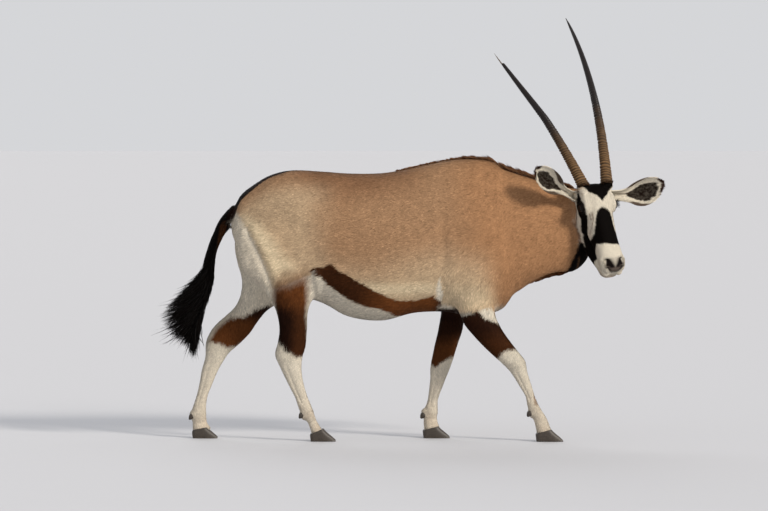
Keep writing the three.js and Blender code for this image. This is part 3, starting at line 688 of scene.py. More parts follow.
def flesh_rings(rows, around, steps, side=0, power=0.9, egg=0):
    """Rings through an outline's rows, whose middle lies side to the left. A power under 1
    squares them off, and egg widens them towards the rear or under edge."""
    rows = np.array(rows, float)
    shares = np.linspace(0, 1, steps + 1)
    front = spline(rows[:, 0:2], shares)
    rear = spline(rows[:, 2:4], shares)
    across = np.column_stack([np.broadcast_to(side, len(rows)), rows[:, 4]])
    middle_y, half = spline(across, shares).T
    angle = np.arange(around) / around * math.tau
    c = np.sign(np.cos(angle)) * np.abs(np.cos(angle)) ** power
    s = np.sign(np.sin(angle)) * np.abs(np.sin(angle)) ** power
    plane = (front + rear)[:, None] / 2 + (front - rear)[:, None] / 2 * c[None, :, None]
    y = middle_y[:, None] + half[:, None] * (s * (1 - egg * c))[None]
    return np.stack([plane[..., 0], y, plane[..., 1]], axis=-1)


def roll_form(bm, rings):
    """A grid rolled into a tube through the rings and closed at both ends."""
    steps, around = rings.shape[0] - 1, rings.shape[1]
    grid = bmesh.ops.create_grid(bm, x_segments=around, y_segments=steps, size=1)["verts"]
    places = np.concatenate([rings, rings[:, :1]], axis=1).reshape(-1, 3)
    for vert, place in zip(grid, places):
        vert.co = place
    bmesh.ops.remove_doubles(bm, verts=grid, dist=1e-3)
    open_edges = [edge for edge in bm.edges if edge.is_boundary]
    bmesh.ops.holes_fill(bm, edges=open_edges, sides=0)


def add_bulge(bm, at, radii, segments=32):
    matrix = Matrix.Translation(Vector(at)) @ Matrix.Diagonal((*radii, 1))
    bmesh.ops.create_uvsphere(
        bm, u_segments=segments, v_segments=segments // 2, radius=1, matrix=matrix)


def body_forms():
    """Torso, neck, legs, dock and head as closed forms that run into each other."""
    bm = bmesh.new()
    roll_form(bm, flesh_rings(TORSO, 96, 120, power=0.88, egg=0.08))
    roll_form(bm, flesh_rings(NECK, 80, 70, side=NECK_SIDE))
    roll_form(bm, flesh_rings(DOCK, 32, 50))
    for rows, side, _ in LEGS.values():
        sunk = np.array(rows[-1], float) + [4, -9, 4, -9, -2]
        roll_form(bm, flesh_rings([*rows, sunk], 48, 150, side=side))
    for x, y, z in FETLOCKS.values():
        add_bulge(bm, [x + 15, y, z + 5], [24, 25, 29])
    head = bmesh.new()
    roll_form(head, flesh_rings(SKULL, 64, 70, power=0.85, egg=-0.06))
    roll_form(head, flesh_rings(JAW, 56, 60))
    for at, radii in HEAD_BULGES:
        for side in (-1, 1):
            add_bulge(head, on_side(at, side), radii)
    turned = np.eye(4)
    turned[:3, :3] = HEAD_TURN
    turned[:3, 3] = HEAD_AT
    bmesh.ops.transform(head, matrix=Matrix(turned), verts=head.verts)
    joined = bpy.data.meshes.new("head_forms")
    head.to_mesh(joined)
    head.free()
    bm.from_mesh(joined)
    bpy.data.meshes.remove(joined)
    return bm


def modified(mesh, kind, group=None, **settings):
    """The mesh after one modifier. group is a weight for each vertex, under that name."""
    holder = bpy.data.objects.new("holder", mesh)
    bpy.context.scene.collection.objects.link(holder)
    if group is not None:
        weights = holder.vertex_groups.new(name="weight")
        levels = np.round(np.asarray(group) * 10).astype(int)
        for level in np.unique(levels):
            weights.add(np.where(levels == level)[0].tolist(), level / 10, "REPLACE")
        settings["vertex_group"] = "weight"
    modifier = holder.modifiers.new(kind.lower(), kind)
    for name, value in settings.items():
        setattr(modifier, name, value)
    graph = bpy.context.evaluated_depsgraph_get()
    result = bpy.data.meshes.new_from_object(holder.evaluated_get(graph))
    bpy.data.objects.remove(holder)
    bpy.data.meshes.remove(mesh)
    return result


def relaxed(places, edges, softness):
    """Vertices moved towards their neighbours' middle, until bumps narrower than
    softness, a length for each vertex, are gone."""
    ends = np.concatenate([edges, edges[:, ::-1]])
    degree = np.bincount(ends[:, 0], minlength=len(places))[:, None]
    spacing = np.linalg.norm(places[edges[:, 0]] - places[edges[:, 1]], axis=1).mean()
    most = softness.max()
    rounds = int(math.ceil(most**2 / (0.4 * spacing**2)))
    pull = (0.8 * (softness / most) ** 2)[:, None]
    for _ in range(rounds):
        total = np.stack([
            np.bincount(ends[:, 0], weights=places[ends[:, 1], k], minlength=len(places))
            for k in range(3)], axis=1)
        places = places + (total / degree - places) * pull
    return places


# Where a point is on the animal


def head_share(places):
    """0 on the neck, 1 on the head, across the plane behind the jaw."""
    away = (places - HEAD_JOIN) @ HEAD_JOIN_WAY
    local = to_head(places)
    width = np.interp(local[:, 0], [150, 165, 180, 205, 240, 320], [108, 98, 84, 72, 66, 61])
    width = np.minimum(width, np.interp(local[:, 2], [-110, -85], [82, 120]))
    near = ease(4, -4, np.abs(local[:, 1]) - width)
    return ease(-22, 26, away) * ease(660, 700, places[:, 2]) * near


def dock_share(places):
    return ease(-690, -712, places[:, 0]) * ease(560, 620, places[:, 2])


def leg_place(name, side_view):
    """Along and across a leg from its side view: 0 at stifle or elbow, 1 at hock or knee,
    2 at the fetlock, 3 at the coronet, and -1 at its rear to 1 at its front, both scaled."""
    rows, _, stations = LEGS[name]
    rows = np.array(rows, float)
    shares = np.linspace(0, 1, 90)
    front, rear = spline(rows[:, 0:2], shares), spline(rows[:, 2:4], shares)
    middle, reach = (front + rear) / 2, (front - rear) / 2
    best = np.full(len(side_view), 1e9)
    along = np.zeros(len(side_view))
    across = np.zeros(len(side_view))
    for i in range(len(shares)):
        u = (side_view - middle[i]) @ reach[i] / (reach[i] @ reach[i])
        away = side_view - middle[i] - np.clip(u, -1, 1)[:, None] * reach[i]
        away = np.linalg.norm(away, axis=1)
        nearer = away < best
        best[nearer] = away[nearer]
        along[nearer] = i / (len(shares) - 1) * (len(rows) - 1)
        across[nearer] = u[nearer]
    stops = np.interp(along, [0, *stations], [-1, 0, 1, 2, 3])
    return np.column_stack([stops * LEG_SPAN, np.clip(across, -1.3, 1.3) * LEG_HALF])


def leg_of(places):
    """Which leg a point low on the body belongs to."""
    x, y = places[:, 0], places[:, 1]
    hind = x < -180
    return {
        "hind_right": hind & (y < 0), "hind_left": hind & (y >= 0),
        "front_right": ~hind & (y < 0), "front_left": ~hind & (y >= 0),
    }


def top_line(x):
    """Height of the back and neck at each x."""
    xs = [row[0] for row in TORSO[:10]] + [row[0] for row in NECK[1:]]
    zs = [row[1] for row in TORSO[:10]] + [row[1] for row in NECK[1:]]
    return np.interp(x, xs, zs)


# Markings


def paint_body(places):
    """Colour of the coat at places on the body, neck and legs, and at the dock."""
    c = colours()
    x, y, z = places.T
    side = np.column_stack([x, z])
    ragged = noise(places, 14, 3)
    rough = side + np.column_stack([ragged, noise(places, 12, 4)]) * 3
    blotch = noise(places, 110, 5)
    out = np.abs(y)

    colour = mix(c.flank, c.neck, ease(150, 420, x + 30 * blotch))
    below = top_line(x) - z
    saddle = ease(190, 0, below + blotch * 24) * ease(220, 0, x)
    colour = mix(colour, c.spine, 0.8 * saddle * ease(-560, -300, x))
    pale = ease(300, 540, below + 20 * blotch) * ease(480, 330, x)
    colour = mix(colour, c.cream, 0.55 * pale * ease(-640, -520, x))
    haunch = ease(-220, -410, x + 40 * blotch) * ease(10, 120, below)
    colour = mix(colour, c.cream, 0.4 * haunch)
    band = 0.8 * ease(46, 0, np.abs(z - 652 - 0.1 * np.maximum(-x - 60, 0)))
    colour = mix(colour, c.cream, band * ease(-240, -60, x) * ease(205, 160, x))
    colour = mix(colour, c.cream, 0.5 * inside(rough, LOWER_SHOULDER, 40))
    colour *= (1 + 0.035 * blotch + 0.03 * noise(places, 40, 6))[:, None]

    # Painted highlight down the rear of the thigh, in cream
    colour = mix(colour, c.cream, inside(rough, THIGH_HIGHLIGHT, 36) * 0.9)
    colour = mix(colour, c.white, inside(rough, RUMP_PALE, 14) * 0.85)
    under = ease(640, 560, z) * ease(120, 90, out) * (x > -560) * (x < 300)
    colour = mix(colour, c.white, np.maximum(inside(rough, BELLY_WHITE, 5), under))
    colour = mix(colour, c.white, inside(rough, ELBOW_SLIVER, 5) * ease(60, 90, out))
    edge = np.interp(x, [-140, 0, 50], [75, 30, -30])
    stripe = inside(rough, FLANK_STRIPE, 4) * ease(edge - 14, edge + 14, out)
    warm = ease(-170, 40, x + blotch * 40) * ease(205, 150, x)
    stripe_colour = mix(c.stripe, np.array(c.brown) * 1.35, 0.2 + 0.8 * warm)
    colour = mix(colour, stripe_colour, stripe)

    for name, mask in leg_of(places).items():
        low = mask & (z < 800) & ((x < -180) | (x > 185) | (z < 535))
        colour[low] = paint_leg(name, places[low], rough[low], colour[low])
    elbows = ease(175, 195, x) * ease(275, 250, x) * ease(578, 560, z)
    colour = mix(colour, c.stripe, elbows * ease(500, 525, z) * ease(125, 105, out))

    spine_width = np.interp(
        x, [-700, -640, -480, -400, 20, 200, 760], [60, 64, 40, 9, 7, 11, 14])
    spine = ease(spine_width + 5, spine_width - 4, np.abs(y - neck_middle(x)))
    strength = np.interp(x, [-420, -340, 0, 120, 640, 760], [1, 0.6, 0.6, 0.9, 0.9, 0.5])
    colour = mix(colour, c.stripe, spine * ease(60, 30, below) * strength)
    croup = inside(rough, CROUP_BLACK, 6) * ease(spine_width + 12, spine_width, out)
    colour = mix(colour, mix(c.stripe, c.black, ease(-560, -680, x)), croup)
    dock = dock_share(places)
    colour = mix(colour, c.black, dock)
    # Painted highlight: a lighter brown streak down the middle of the black dock
    patch = dock * ease(13, 4, np.abs(x + 737 - (z - 880) * 0.25))
    patch *= ease(790, 840, z) * ease(960, 930, z)
    colour = mix(colour, c.brown, 0.35 * patch)
    line = ease(20, 10, np.abs(y - neck_middle(x)))
    line *= ease(60, 40, z - under_line(x)) * ease(430, 480, x)
    return mix(colour, c.black, 0.8 * line * ease(640, 700, z))


def neck_middle(x):
    return np.interp(x, [371, 491, 606, 700, 770, 808], NECK_SIDE[1:])


def under_line(x):
    return np.interp(x, [row[2] for row in NECK], [row[3] for row in NECK])


def paint_leg(name, places, rough, colour):
    """The leg's bands over the body's colour. The photo shows the right legs' outer sides
    and the left legs' inner sides, and each marking is carried over to the other leg."""
    c = colours()
    hind = name.startswith("hind")
    middle = LEGS[name][1]
    outwards = (places[:, 1] - middle) * np.sign(middle)
    outer = ease(-8, 8, outwards)
    spot = leg_place(name, rough)
    stops = spot[:, 0] / LEG_SPAN
    z = places[:, 2]

    def marking(seen_on, outline, soft):
        return inside(spot, leg_place(seen_on, np.array(outline, float)), soft)

    if hind:
        colour = mix(colour, c.white, ease(0.72, 0.92, stops))
        colour = mix(colour, c.white, 0.85 * (1 - outer) * ease(760, 680, z))
        colour = mix(colour, c.white, outer * marking("hind_right", HIND_FRONT_WHITE, 6))
        brown = outer * marking("hind_right", HIND_BROWN, 8)
        top = 700 + 0.9 * spot[:, 1] + 10 * noise(places, 26, 15)
        brown = brown * ease(60, -60, z - top)
        inner_brown_and_shade = (1 - outer) * marking("hind_left", HIND_INNER_BROWN_AND_SHADE, 8)
        patch = np.maximum(brown, inner_brown_and_shade)
        rear = ease(26, -18, spot[:, 1] + 6 * noise(places, 20, 16))
        deep = ease(0.26, 0.52, stops) * (0.7 + 0.3 * rear)
        deep = np.maximum(deep, 0.55 * ease(0.1, 0.4, stops) * rear)
        # Painted shade: on the inner side the patch darkens to near black high up
        shade = ease(0.62, 0.4, stops)
        deep = outer * deep + (1 - outer) * (0.15 + 0.8 * shade)
    else:
        colour = mix(colour, c.white, ease(0.1, 0.4, stops))
        colour = mix(colour, c.white, (1 - outer) * ease(600, 540, z))
        dark = outer * marking("front_right", FRONT_DARK, 5)
        inner_dark = (1 - outer) * marking("front_left", FRONT_INNER_DARK, 6)
        patch = np.maximum(dark, inner_dark)
        white_patch = outer * marking("front_right", FRONT_WHITE_PATCH, 4)
        colour = mix(colour, c.white, white_patch)
        patch = patch * (1 - white_patch)
        # On the inner side one dark brown patch is painted near black high up and redder low down:
        # painted shade above, painted light below
        deep = 0.95 - 0.6 * ease(0.45, 0.85, stops) * (1 - outer)
        deep = deep - 0.3 * outer * ease(0.3, 0.7, stops)
        colour = mix(colour, c.brown, 0.6 * marking("front_right", CANNON_SPOT, 5) * outer)
    colour = mix(colour, mix(c.brown, c.stripe, deep), patch)
    dust = ease(1.1, 2.6, stops) * (0.22 + 0.1 * noise(places, 30, 7))
    return mix(colour, c.flank, dust)


def paint_head(places):
    """Colour of the coat at places on the head, given in the model's frame."""
    c = colours()
    local = to_head(places)
    x = local[:, 0]
    signed = np.degrees(np.arctan2(local[:, 1], local[:, 2] + HEAD_CORE))
    ragged = np.column_stack([noise(places, 7, 8), noise(places, 6, 9)])
    both = np.column_stack([x, signed]) + 1.4 * ragged
    spot = np.column_stack([x, np.abs(signed)]) + 1.4 * ragged

    degrees = spot[:, 1]
    behind = ease(92, 60, x + 0.2 * np.abs(degrees - 60))
    line = 118 + 0.235 * (x - 135)
    jaw = ease(-1, 5, degrees - line) * ease(330, 300, x)
    colour = mix(c.white, c.neck, 0.95 * np.maximum(behind, jaw))
    colour = mix(colour, c.white, inside(spot, CHEEK_WHITE, 3))
    # Painted shade: a thin brown line along the jaw's edge where it meets the neck
    colour = mix(colour, c.brown, 0.85 * stroke(spot, JAW_EDGE_SHADE, 3))
    colour = mix(colour, c.black, inside(both, FOREHEAD_DARK, 2))
    colour = mix(colour, c.black, inside(both, BLAZE, 2.5))
    colour = mix(colour, c.black, inside(spot, EYE_STRIPE, 2.5))
    for line in TEAR_LINES:
        colour = mix(colour, c.brown, 0.7 * stroke(spot, line, 2.4))
    # Painted shade under the chin, in the spine's brown
    chin_shade = ease(-90, -102, local[:, 2]) * ease(396, 430, x)
    colour = mix(colour, c.spine, 0.35 * chin_shade)
    nose = nose_share(local)
    pad = mix(linear("#4A3E38"), linear("#1E1816"), ease(-34, -56, local[:, 2]))
    colour = mix(colour, pad, 0.95 * nose[:, 0])
    return mix(colour, linear("#110C0B"), nose[:, 1])


def nose_share(local):
    """How far each place lies on the pad between the nostrils, and on their dark rim, the
    lips or the lids."""
    sided = folded(local)
    pad = np.clip(2.6 * near_line(sided, NOSE_PAD, 15, 0.8) - 0.8, 0, 1)
    rim = 0.8 * near_line(sided, NOSE_EDGE, 6.5, 0.6)
    rim = np.maximum(rim, near_line(sided, NOSTRIL, 10, 0.2))
    lips = near_line(sided, LIP_LINE, 5)
    lids = ease(EYE_RADIUS + 9, EYE_RADIUS + 3, np.linalg.norm(sided - EYE_AT, axis=1))
    dark = np.clip(1.8 * np.maximum(rim, lips) - 0.4, 0, 1) * (local[:, 0] > MUZZLE_FROM)
    return np.column_stack([pad, np.maximum(dark, lids)])


def paint_skin(places):
    """Colour of the coat anywhere but on the ears."""
    share = head_share(places)
    on_head = share > 0
    on_body = share < 1
    colour = np.zeros((len(places), 3))
    if on_body.any():
        colour[on_body] = paint_body(places[on_body]) * (1 - share[on_body])[:, None]
    if on_head.any():
        colour[on_head] += paint_head(places[on_head]) * share[on_head][:, None]
    low = (places[:, 0] > 700) & (places[:, 2] < 840)
    throat = inside(places[low][:, [0, 2]] + noise(places[low], 10, 14)[:, None] * 1.5,
                    THROAT_BLACK, 6)
    muzzle = share[low] * ease(308, 322, to_head(places[low])[:, 0])
    colour[low] = mix(colour[low], colours().black, throat * (1 - muzzle))
    return colour


def ear_frame(root, tip, mouth):
    """The ways along an ear, out of its mouth and across it."""
    along = unit(tip - root)
    face = unit(mouth - along * (mouth @ along))
    return along, face, np.cross(face, along)


def ear_place(places, name):
    """Share along an ear from its root, share across from its lower edge at -1 to its upper
    at 1, and the ear's axes."""
    root, tip, mouth, sag, slim = ears()[name]
    along, face, across = ear_frame(root, tip, mouth)
    t = (places - root) @ along / np.linalg.norm(tip - root)
    arc = np.sin(np.pi * np.clip(t, 0, 1))
    half = np.interp(t, 1 - (1 - np.linspace(0, 1, len(EAR_PROFILE))) ** 1.2,
                     [row[0] for row in EAR_PROFILE]) - slim * arc
    middle = root + (tip - root) * t[:, None] - np.array([0, 0, 1]) * (sag * arc)[:, None]
    share = np.sign(across[2]) * ((places - middle) @ across) / half
    return t, share, along, face, across


def paint_ear(places, normals, name):
    """White with a thin dark outline and a brown tip, and dark mottled hair in the cup."""
    c = colours()
    t, share, _, face, _ = ear_place(places, name)
    in_cup = ease(-0.1, 0.25, normals @ face)
    ragged = noise(places, 9, 12)
    back = (1 - in_cup) * ease(0.3, 0.5, t)
    # The ears' white is painted brighter than the white elsewhere: painted light
    colour = mix(np.array(c.white) * 1.28, c.spine, 0.25 * back)
    off_middle = np.hypot((t - 0.61) / 0.32, (share + 0.08) / 0.72)
    hollow = ease(1.0, 0.86, off_middle + 0.12 * ragged)
    mottle = 0.93 + 0.07 * ease(-0.4, 0.3, noise(places, 4, 13))
    colour = mix(colour, linear("#1E150F"), in_cup * hollow * mottle)
    stem = ease(0.2, 0.08, np.abs(share - 0.1)) * ease(0.14, 0.2, t)
    colour = mix(colour, linear("#4A3A2D"), 0.6 * stem * in_cup * ease(0.4, 0.32, t))
    rim = ease(0.9, 0.96, np.abs(share) + 0.02 * ragged) * ease(0.3, 0.42, t)
    colour = mix(colour, linear("#3B2418"), 0.92 * rim * (0.25 + 0.75 * in_cup))
    end = ease(0.86, 0.9, t + 0.02 * ragged - 0.07 * (1 - np.abs(share)) * in_cup)
    return mix(colour, linear("#33201A"), end)


# Carving the skin


def carve_body(places, normals):
    """How far each point of the body moves out of its smooth form."""
    move = np.zeros(len(places))
    side_view = places[:, [0, 2]]
    faces_out = ease(0.15, 0.6, np.abs(normals[:, 1]))
    for line, radius, height in FLANK_CARVING:
        move += stroke(side_view, line, radius) * height * faces_out
    faces_end = ease(0.3, 0.8, np.abs(normals[:, 0]))
    for line, radius, height in END_CARVING:
        move += stroke(side_view, line, radius) * height * faces_end
    for name, mask in leg_of(places).items():
        low = mask & (places[:, 2] < 560)
        spot = leg_place(name, side_view[low])
        stops, across = spot[:, 0] / LEG_SPAN, spot[:, 1] / LEG_HALF
        swell = np.interp(stops, [row[0] for row in LEG_SWELL], [row[1] for row in LEG_SWELL])
        groove = np.exp(-(((across + 0.3) / 0.2) ** 2)) * faces_out[low]
        groove *= ease(1.15, 1.35, stops) * ease(1.95, 1.8, stops)
        move[low] += swell - 3.0 * groove
    return move


def carve_head(places, normals):
    """Moves the head's points for lids, brows, nostrils and lips."""
    local = to_head(places)
    out = normals @ HEAD_TURN
    move = np.zeros(len(places))
    sided = folded(local)
    for line, radius, height, depth in HEAD_CARVING:
        move += near_line(sided, line, radius, depth) * height
    move -= near_line(sided, LIP_LINE, 3.4) * 4 * (local[:, 0] > MUZZLE_FROM)
    moved = local + out * move[:, None]
    for side in (-1, 1):
        moved = wrap_lids(moved, side)
    return from_head(moved)


def wrap_lids(local, side):
    """Skin drawn over the eyeball, and sunk below it within the lids' opening."""
    centre, axis, ahead, up = eye_frame(side)
    away = local - centre
    radius = np.linalg.norm(away, axis=1)
    way = away / np.maximum(radius, 1e-6)[:, None]
    u, v = way @ ahead * EYE_RADIUS, way @ up * EYE_RADIUS
    v = v + EYE_SLANT * u
    opening = np.hypot(u / EYE_OPENING[0], v / EYE_OPENING[1])
    outwards = way @ axis
    near = ease(2.1, 1.15, opening) * ease(0.1, 0.45, outwards)
    lid_edge = np.exp(-(((opening - 1.12) / 0.16) ** 2)) * 1.1
    wrapped = EYE_RADIUS + LID_THICKNESS + lid_edge
    target = np.where(opening < 1, EYE_RADIUS - 3.5, wrapped)
    return centre + way * (radius + (target - radius) * near)[:, None]


def coat_depth_at(places):
    """How far the skin lies inside the outline."""
    on_head = head_share(places)
    low_leg = ease(520, 320, places[:, 2])
    body = sizes().coat_depth / MM
    depth = body + (2.0 - body) * low_leg
    return depth + (1.6 - depth) * on_head


def skin_softness(places):
    """Length under which each part of the skin is smoothed."""
    x, _, z = places.T
    soft = np.full(len(places), 13.0)
    joins = ease(480, 600, z) * ease(900, 700, z) * ((x < -250) | (x > 150))
    soft = soft + 12 * joins
    low = ease(560, 440, z)
    soft = soft * (1 - low) + 4.5 * low
    tail = dock_share(places)
    soft = soft * (1 - tail) + 5 * tail
    away = (places - HEAD_JOIN) @ HEAD_JOIN_WAY
    head = ease(-30, 40, away) * ease(650, 720, z)
    return soft * (1 - head) + 4.0 * head


def coarse_at(places, edges):
    """1 where the skin may be made coarser, 0 on the head and at the markings' edges."""
    paint = paint_skin(places)
    jump = np.abs(paint[edges[:, 0]] - paint[edges[:, 1]]).max(axis=1)
    coarse = np.ones(len(places))
    coarse[edges[jump > 0.05].ravel()] = 0.0
    coarse[(head_share(places) > 0.5) & (to_head(places)[:, 0] > 80)] = 0.0
    return coarse


def skin_surface():
    """The fused, smoothed and carved surface of everything but the ears."""
    grain = sizes().skin_grain / MM
    mesh = mesh_of(body_forms(), "forms")
    mesh = modified(mesh, "REMESH", mode="VOXEL", voxel_size=grain)
    places, edges = read_places(mesh), read_edges(mesh)
    write_places(mesh, relaxed(places, edges, skin_softness(places)))
    refine_face(mesh)

    places, normals = read_places(mesh), read_normals(mesh)
    on_head = head_share(places)[:, None]
    body_move = carve_body(places, normals) - coat_depth_at(places)
    body = places + normals * body_move[:, None]
    inset = places - normals * coat_depth_at(places)[:, None]
    head = carve_head(inset, normals)
    write_places(mesh, body * (1 - on_head) + head * on_head)

    count = sum(len(p.vertices) - 2 for p in mesh.polygons)
    if count > SKIN_TRIANGLES:
        group = coarse_at(read_places(mesh), read_edges(mesh))
        mesh = modified(mesh, "DECIMATE", group=group, ratio=SKIN_TRIANGLES / count)
    return mesh


def refine_face(mesh):
    """Smaller faces round the eyes and on the muzzle."""
    places = read_places(mesh)
    local = to_head(places)
    near_eye = np.linalg.norm(folded(local) - EYE_AT, axis=1) < 46
    near_nose = (local[:, 0] > MUZZLE_FROM - 5) & (head_share(places) > 0.5)
    fine = near_eye | near_nose
    bm = bmesh.new()
    bm.from_mesh(mesh)
    bm.verts.ensure_lookup_table()
    split = [e for e in bm.edges if fine[e.verts[0].index] and fine[e.verts[1].index]]
    bmesh.ops.subdivide_edges(bm, edges=split, cuts=1, use_grid_fill=True)
    bmesh.ops.triangulate(bm, faces=[f for f in bm.faces if len(f.verts) > 4])
    bm.to_mesh(mesh)
    bm.free()


def ear_shell(bm, name):
    """A cup with a thick wall that opens out from a rolled root."""
    root, tip, mouth, sag, slim = ears()[name]
    _, face, across = ear_frame(root, tip, mouth)
    steps, arc_points = 44, 22
    rings = []
    for i in range(steps + 1):
        t = 1 - (1 - i / steps) ** 1.2
        full, degrees = spline(EAR_PROFILE, [t])[0]
        half = full - slim * math.sin(math.pi * t) - 0.8
        opened = math.radians(degrees)
        radius = half / math.sin(min(opened, math.pi / 2))
        at = root + (tip - root) * t
        at = at - np.array([0, 0, sag * math.sin(math.pi * t)])
        at = at + face * (radius * (1 + math.cos(opened)) / 2)
        wall = min(EAR_WALL, radius * 0.4)
        angle = opened * (1 - 2 * np.arange(arc_points + 1) / arc_points)
        way = across * np.sin(angle)[:, None] - face * np.cos(angle)[:, None]
        rim = wall * 0.5 * np.abs(np.linspace(-1, 1, arc_points + 1)) ** 6
        outer = at + way * (radius - rim * 0.4)[:, None]
        inner = at + way * (radius - wall + rim * 0.6)[:, None]
        rings.append(np.concatenate([outer, inner[::-1]]))
    roll_form(bm, np.array(rings))


def build_skin():
    """One skin over all the flesh, with the ears, that carries its own colours."""
    surface = skin_surface()
    bm = bmesh.new()
    bm.from_mesh(surface)
    body = slice(0, len(bm.verts))
    bpy.data.meshes.remove(surface)
    shells = {}
    for name in ears():
        start = len(bm.verts)
        ear_shell(bm, name)
        shells[name] = slice(start, len(bm.verts))
    bm.verts.index_update()
    mesh = mesh_of(bm, "skin")
    mesh.update()
    places, normals = read_places(mesh), read_normals(mesh)
    paint = np.zeros((len(places), 3))
    paint[body] = paint_skin(places[body])
    part = np.zeros(len(places))
    for number, (name, shell) in enumerate(shells.items()):
        paint[shell] = paint_ear(places[shell], normals[shell], name)
        part[shell] = number + 1
    set_colours(mesh, "coat_colour", paint)
    set_shares(mesh, "bare", bare_share(places))
    set_shares(mesh, "part", part)
    flesh = [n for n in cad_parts
             if n.split("_")[0] in ("torso", "neck", "head", "tail", "leg", "ear")]
    finish_piece("skin", mesh, coat_material("short_coat_on_hide"), flesh)


def bare_share(places):
    """1 on the wet dark skin of nostrils, lips and lid edges, 0 where hair grows."""
    return nose_share(to_head(places)).max(axis=1) * head_share(places)


# Materials


def add_node(tree, kind, links=None, **settings):
    """One node with its settings, and links from its inputs' names to output sockets."""
    node = tree.nodes.new(kind)
    for name, value in settings.items():
        if hasattr(node, name):
            setattr(node, name, value)
        else:
            node.inputs[name.replace("_", " ")].default_value = value
    for name, output in (links or {}).items():
        tree.links.new(output, node.inputs[name])
    return node


def new_material(name):
    material = bpy.data.materials.new(name)
    material.use_nodes = True
    tree = material.node_tree
    return material, tree, tree.nodes["Principled BSDF"]


def link_paint(tree, shader):
    """The colour that the mesh carries at each point, as the base colour."""
    painted = add_node(tree, "ShaderNodeAttribute", attribute_name="coat_colour")
    tree.links.new(painted.outputs["Color"], shader.inputs["Base Color"])


def link_grain(tree, shader, scale, detail, roughness, tones, strength, distance):
    """The carried colour toned by a noise fixed to the piece, and a bump from that noise."""
    painted = add_node(tree, "ShaderNodeAttribute", attribute_name="coat_colour")
    place = add_node(tree, "ShaderNodeTexCoord")
    grain = add_node(tree, "ShaderNodeTexNoise", {"Vector": place.outputs["Object"]},
                     Scale=scale, Detail=detail, Roughness=roughness)
    shade = add_node(tree, "ShaderNodeMapRange", {"Value": grain.outputs["Fac"]},
                     From_Min=0.3, From_Max=0.7, To_Min=tones[0], To_Max=tones[1])
    toned = add_node(tree, "ShaderNodeVectorMath",
                     {0: painted.outputs["Color"], 1: shade.outputs["Result"]},
                     operation="MULTIPLY")
    tree.links.new(toned.outputs["Vector"], shader.inputs["Base Color"])
    link_bump(tree, shader, grain, strength, distance)


def link_bump(tree, shader, texture, strength, distance):
    bump = add_node(tree, "ShaderNodeBump", {"Height": texture.outputs["Fac"]},
                    Strength=strength, Distance=distance)
    tree.links.new(bump.outputs["Normal"], shader.inputs["Normal"])


def link_gloss(tree, shader, attribute, plain, glossy):
    """Roughness from plain to glossy by a share that the mesh carries."""
    share = add_node(tree, "ShaderNodeAttribute", attribute_name=attribute)
    gloss = add_node(tree, "ShaderNodeMapRange", {"Value": share.outputs["Fac"]},
                     To_Min=plain, To_Max=glossy)
    tree.links.new(gloss.outputs["Result"], shader.inputs["Roughness"])


def coat_material(name):
    """Short hair lying flat on hide: dull and soft, with a faint sheen at grazing light, and
    bare skin that is moist and glossier at the nostrils, lips and lids."""
    material, tree, shader = new_material(name)
    link_grain(tree, shader, 420, 3, 0.6, (0.82, 1.12), 0.35, 0.0012)
    link_gloss(tree, shader, "bare", 0.75, 0.38)
    shader.inputs["Sheen Weight"].default_value = 0.01
    shader.inputs["Sheen Roughness"].default_value = 0.5
    shader.inputs["Specular IOR Level"].default_value = 0.03
    return material


def hair_material(name, roughness=0.62, sheen=0.01):
    """Keratin hair in tufts: the colour comes from the tuft, and the surface is dull with a
    faint soft sheen."""
    material, tree, shader = new_material(name)
    link_paint(tree, shader)
    shader.inputs["Roughness"].default_value = roughness
    shader.inputs["Sheen Weight"].default_value = sheen
    shader.inputs["Sheen Roughness"].default_value = 0.4
    shader.inputs["Specular IOR Level"].default_value = 0.03
    return material


def horn_material():
    """Keratin sheath, grown in rings: dull and dirty brown low down, with painted shade in the
    grooves between the rings, and worn black and glossy above."""
    material, tree, shader = new_material("grown_keratin_horn_sheath")
    link_grain(tree, shader, 300, 5, 0.65, (0.7, 1.2), 0.5, 0.0006)
    link_gloss(tree, shader, "polish", 0.7, 0.38)
    shader.inputs["Specular IOR Level"].default_value = 0.25
    return material


def hoof_material():
    """Keratin hoof wall: grey-black with a mottle of dust, and growth lines round it."""
    material, tree, shader = new_material("grown_keratin_hoof")
    place = add_node(tree, "ShaderNodeTexCoord")
    lines = add_node(tree, "ShaderNodeTexWave", {"Vector": place.outputs["Object"]},
                     wave_type="BANDS", bands_direction="Z", Scale=55, Distortion=2.0, Detail=2)
    grain = add_node(tree, "ShaderNodeTexNoise", {"Vector": place.outputs["Object"]},
                     Scale=160, Detail=4)
    colour = add_node(tree, "ShaderNodeMix", {"Factor": grain.outputs["Fac"]}, data_type="RGBA")
    colour.inputs[6].default_value = (*linear("#1D1815"), 1)
    colour.inputs[7].default_value = (*linear("#4A4036"), 1)
    tree.links.new(colour.outputs[2], shader.inputs["Base Color"])
    shader.inputs["Roughness"].default_value = 0.48
    link_bump(tree, shader, lines, 0.3, 0.0008)
    return material


def eye_material():
    """A wet cornea over a dark brown iris: almost black, with a sharp highlight."""
    material, tree, shader = new_material("wet_cornea")
    link_paint(tree, shader)
    shader.inputs["Roughness"].default_value = 0.12
    shader.inputs["Specular IOR Level"].default_value = 0.12
    shader.inputs["IOR"].default_value = 1.38
    shader.inputs["Coat Weight"].default_value = 0.2
    shader.inputs["Coat Roughness"].default_value = 0.02
    return material


def floor_material():
    """Matt painted studio floor."""
    material, _, shader = new_material("matt_studio_paint")
    shader.inputs["Base Color"].default_value = (*linear("#BDBDC0"), 1)
    shader.inputs["Roughness"].default_value = 0.9
    return material


# Hair as solid mesh


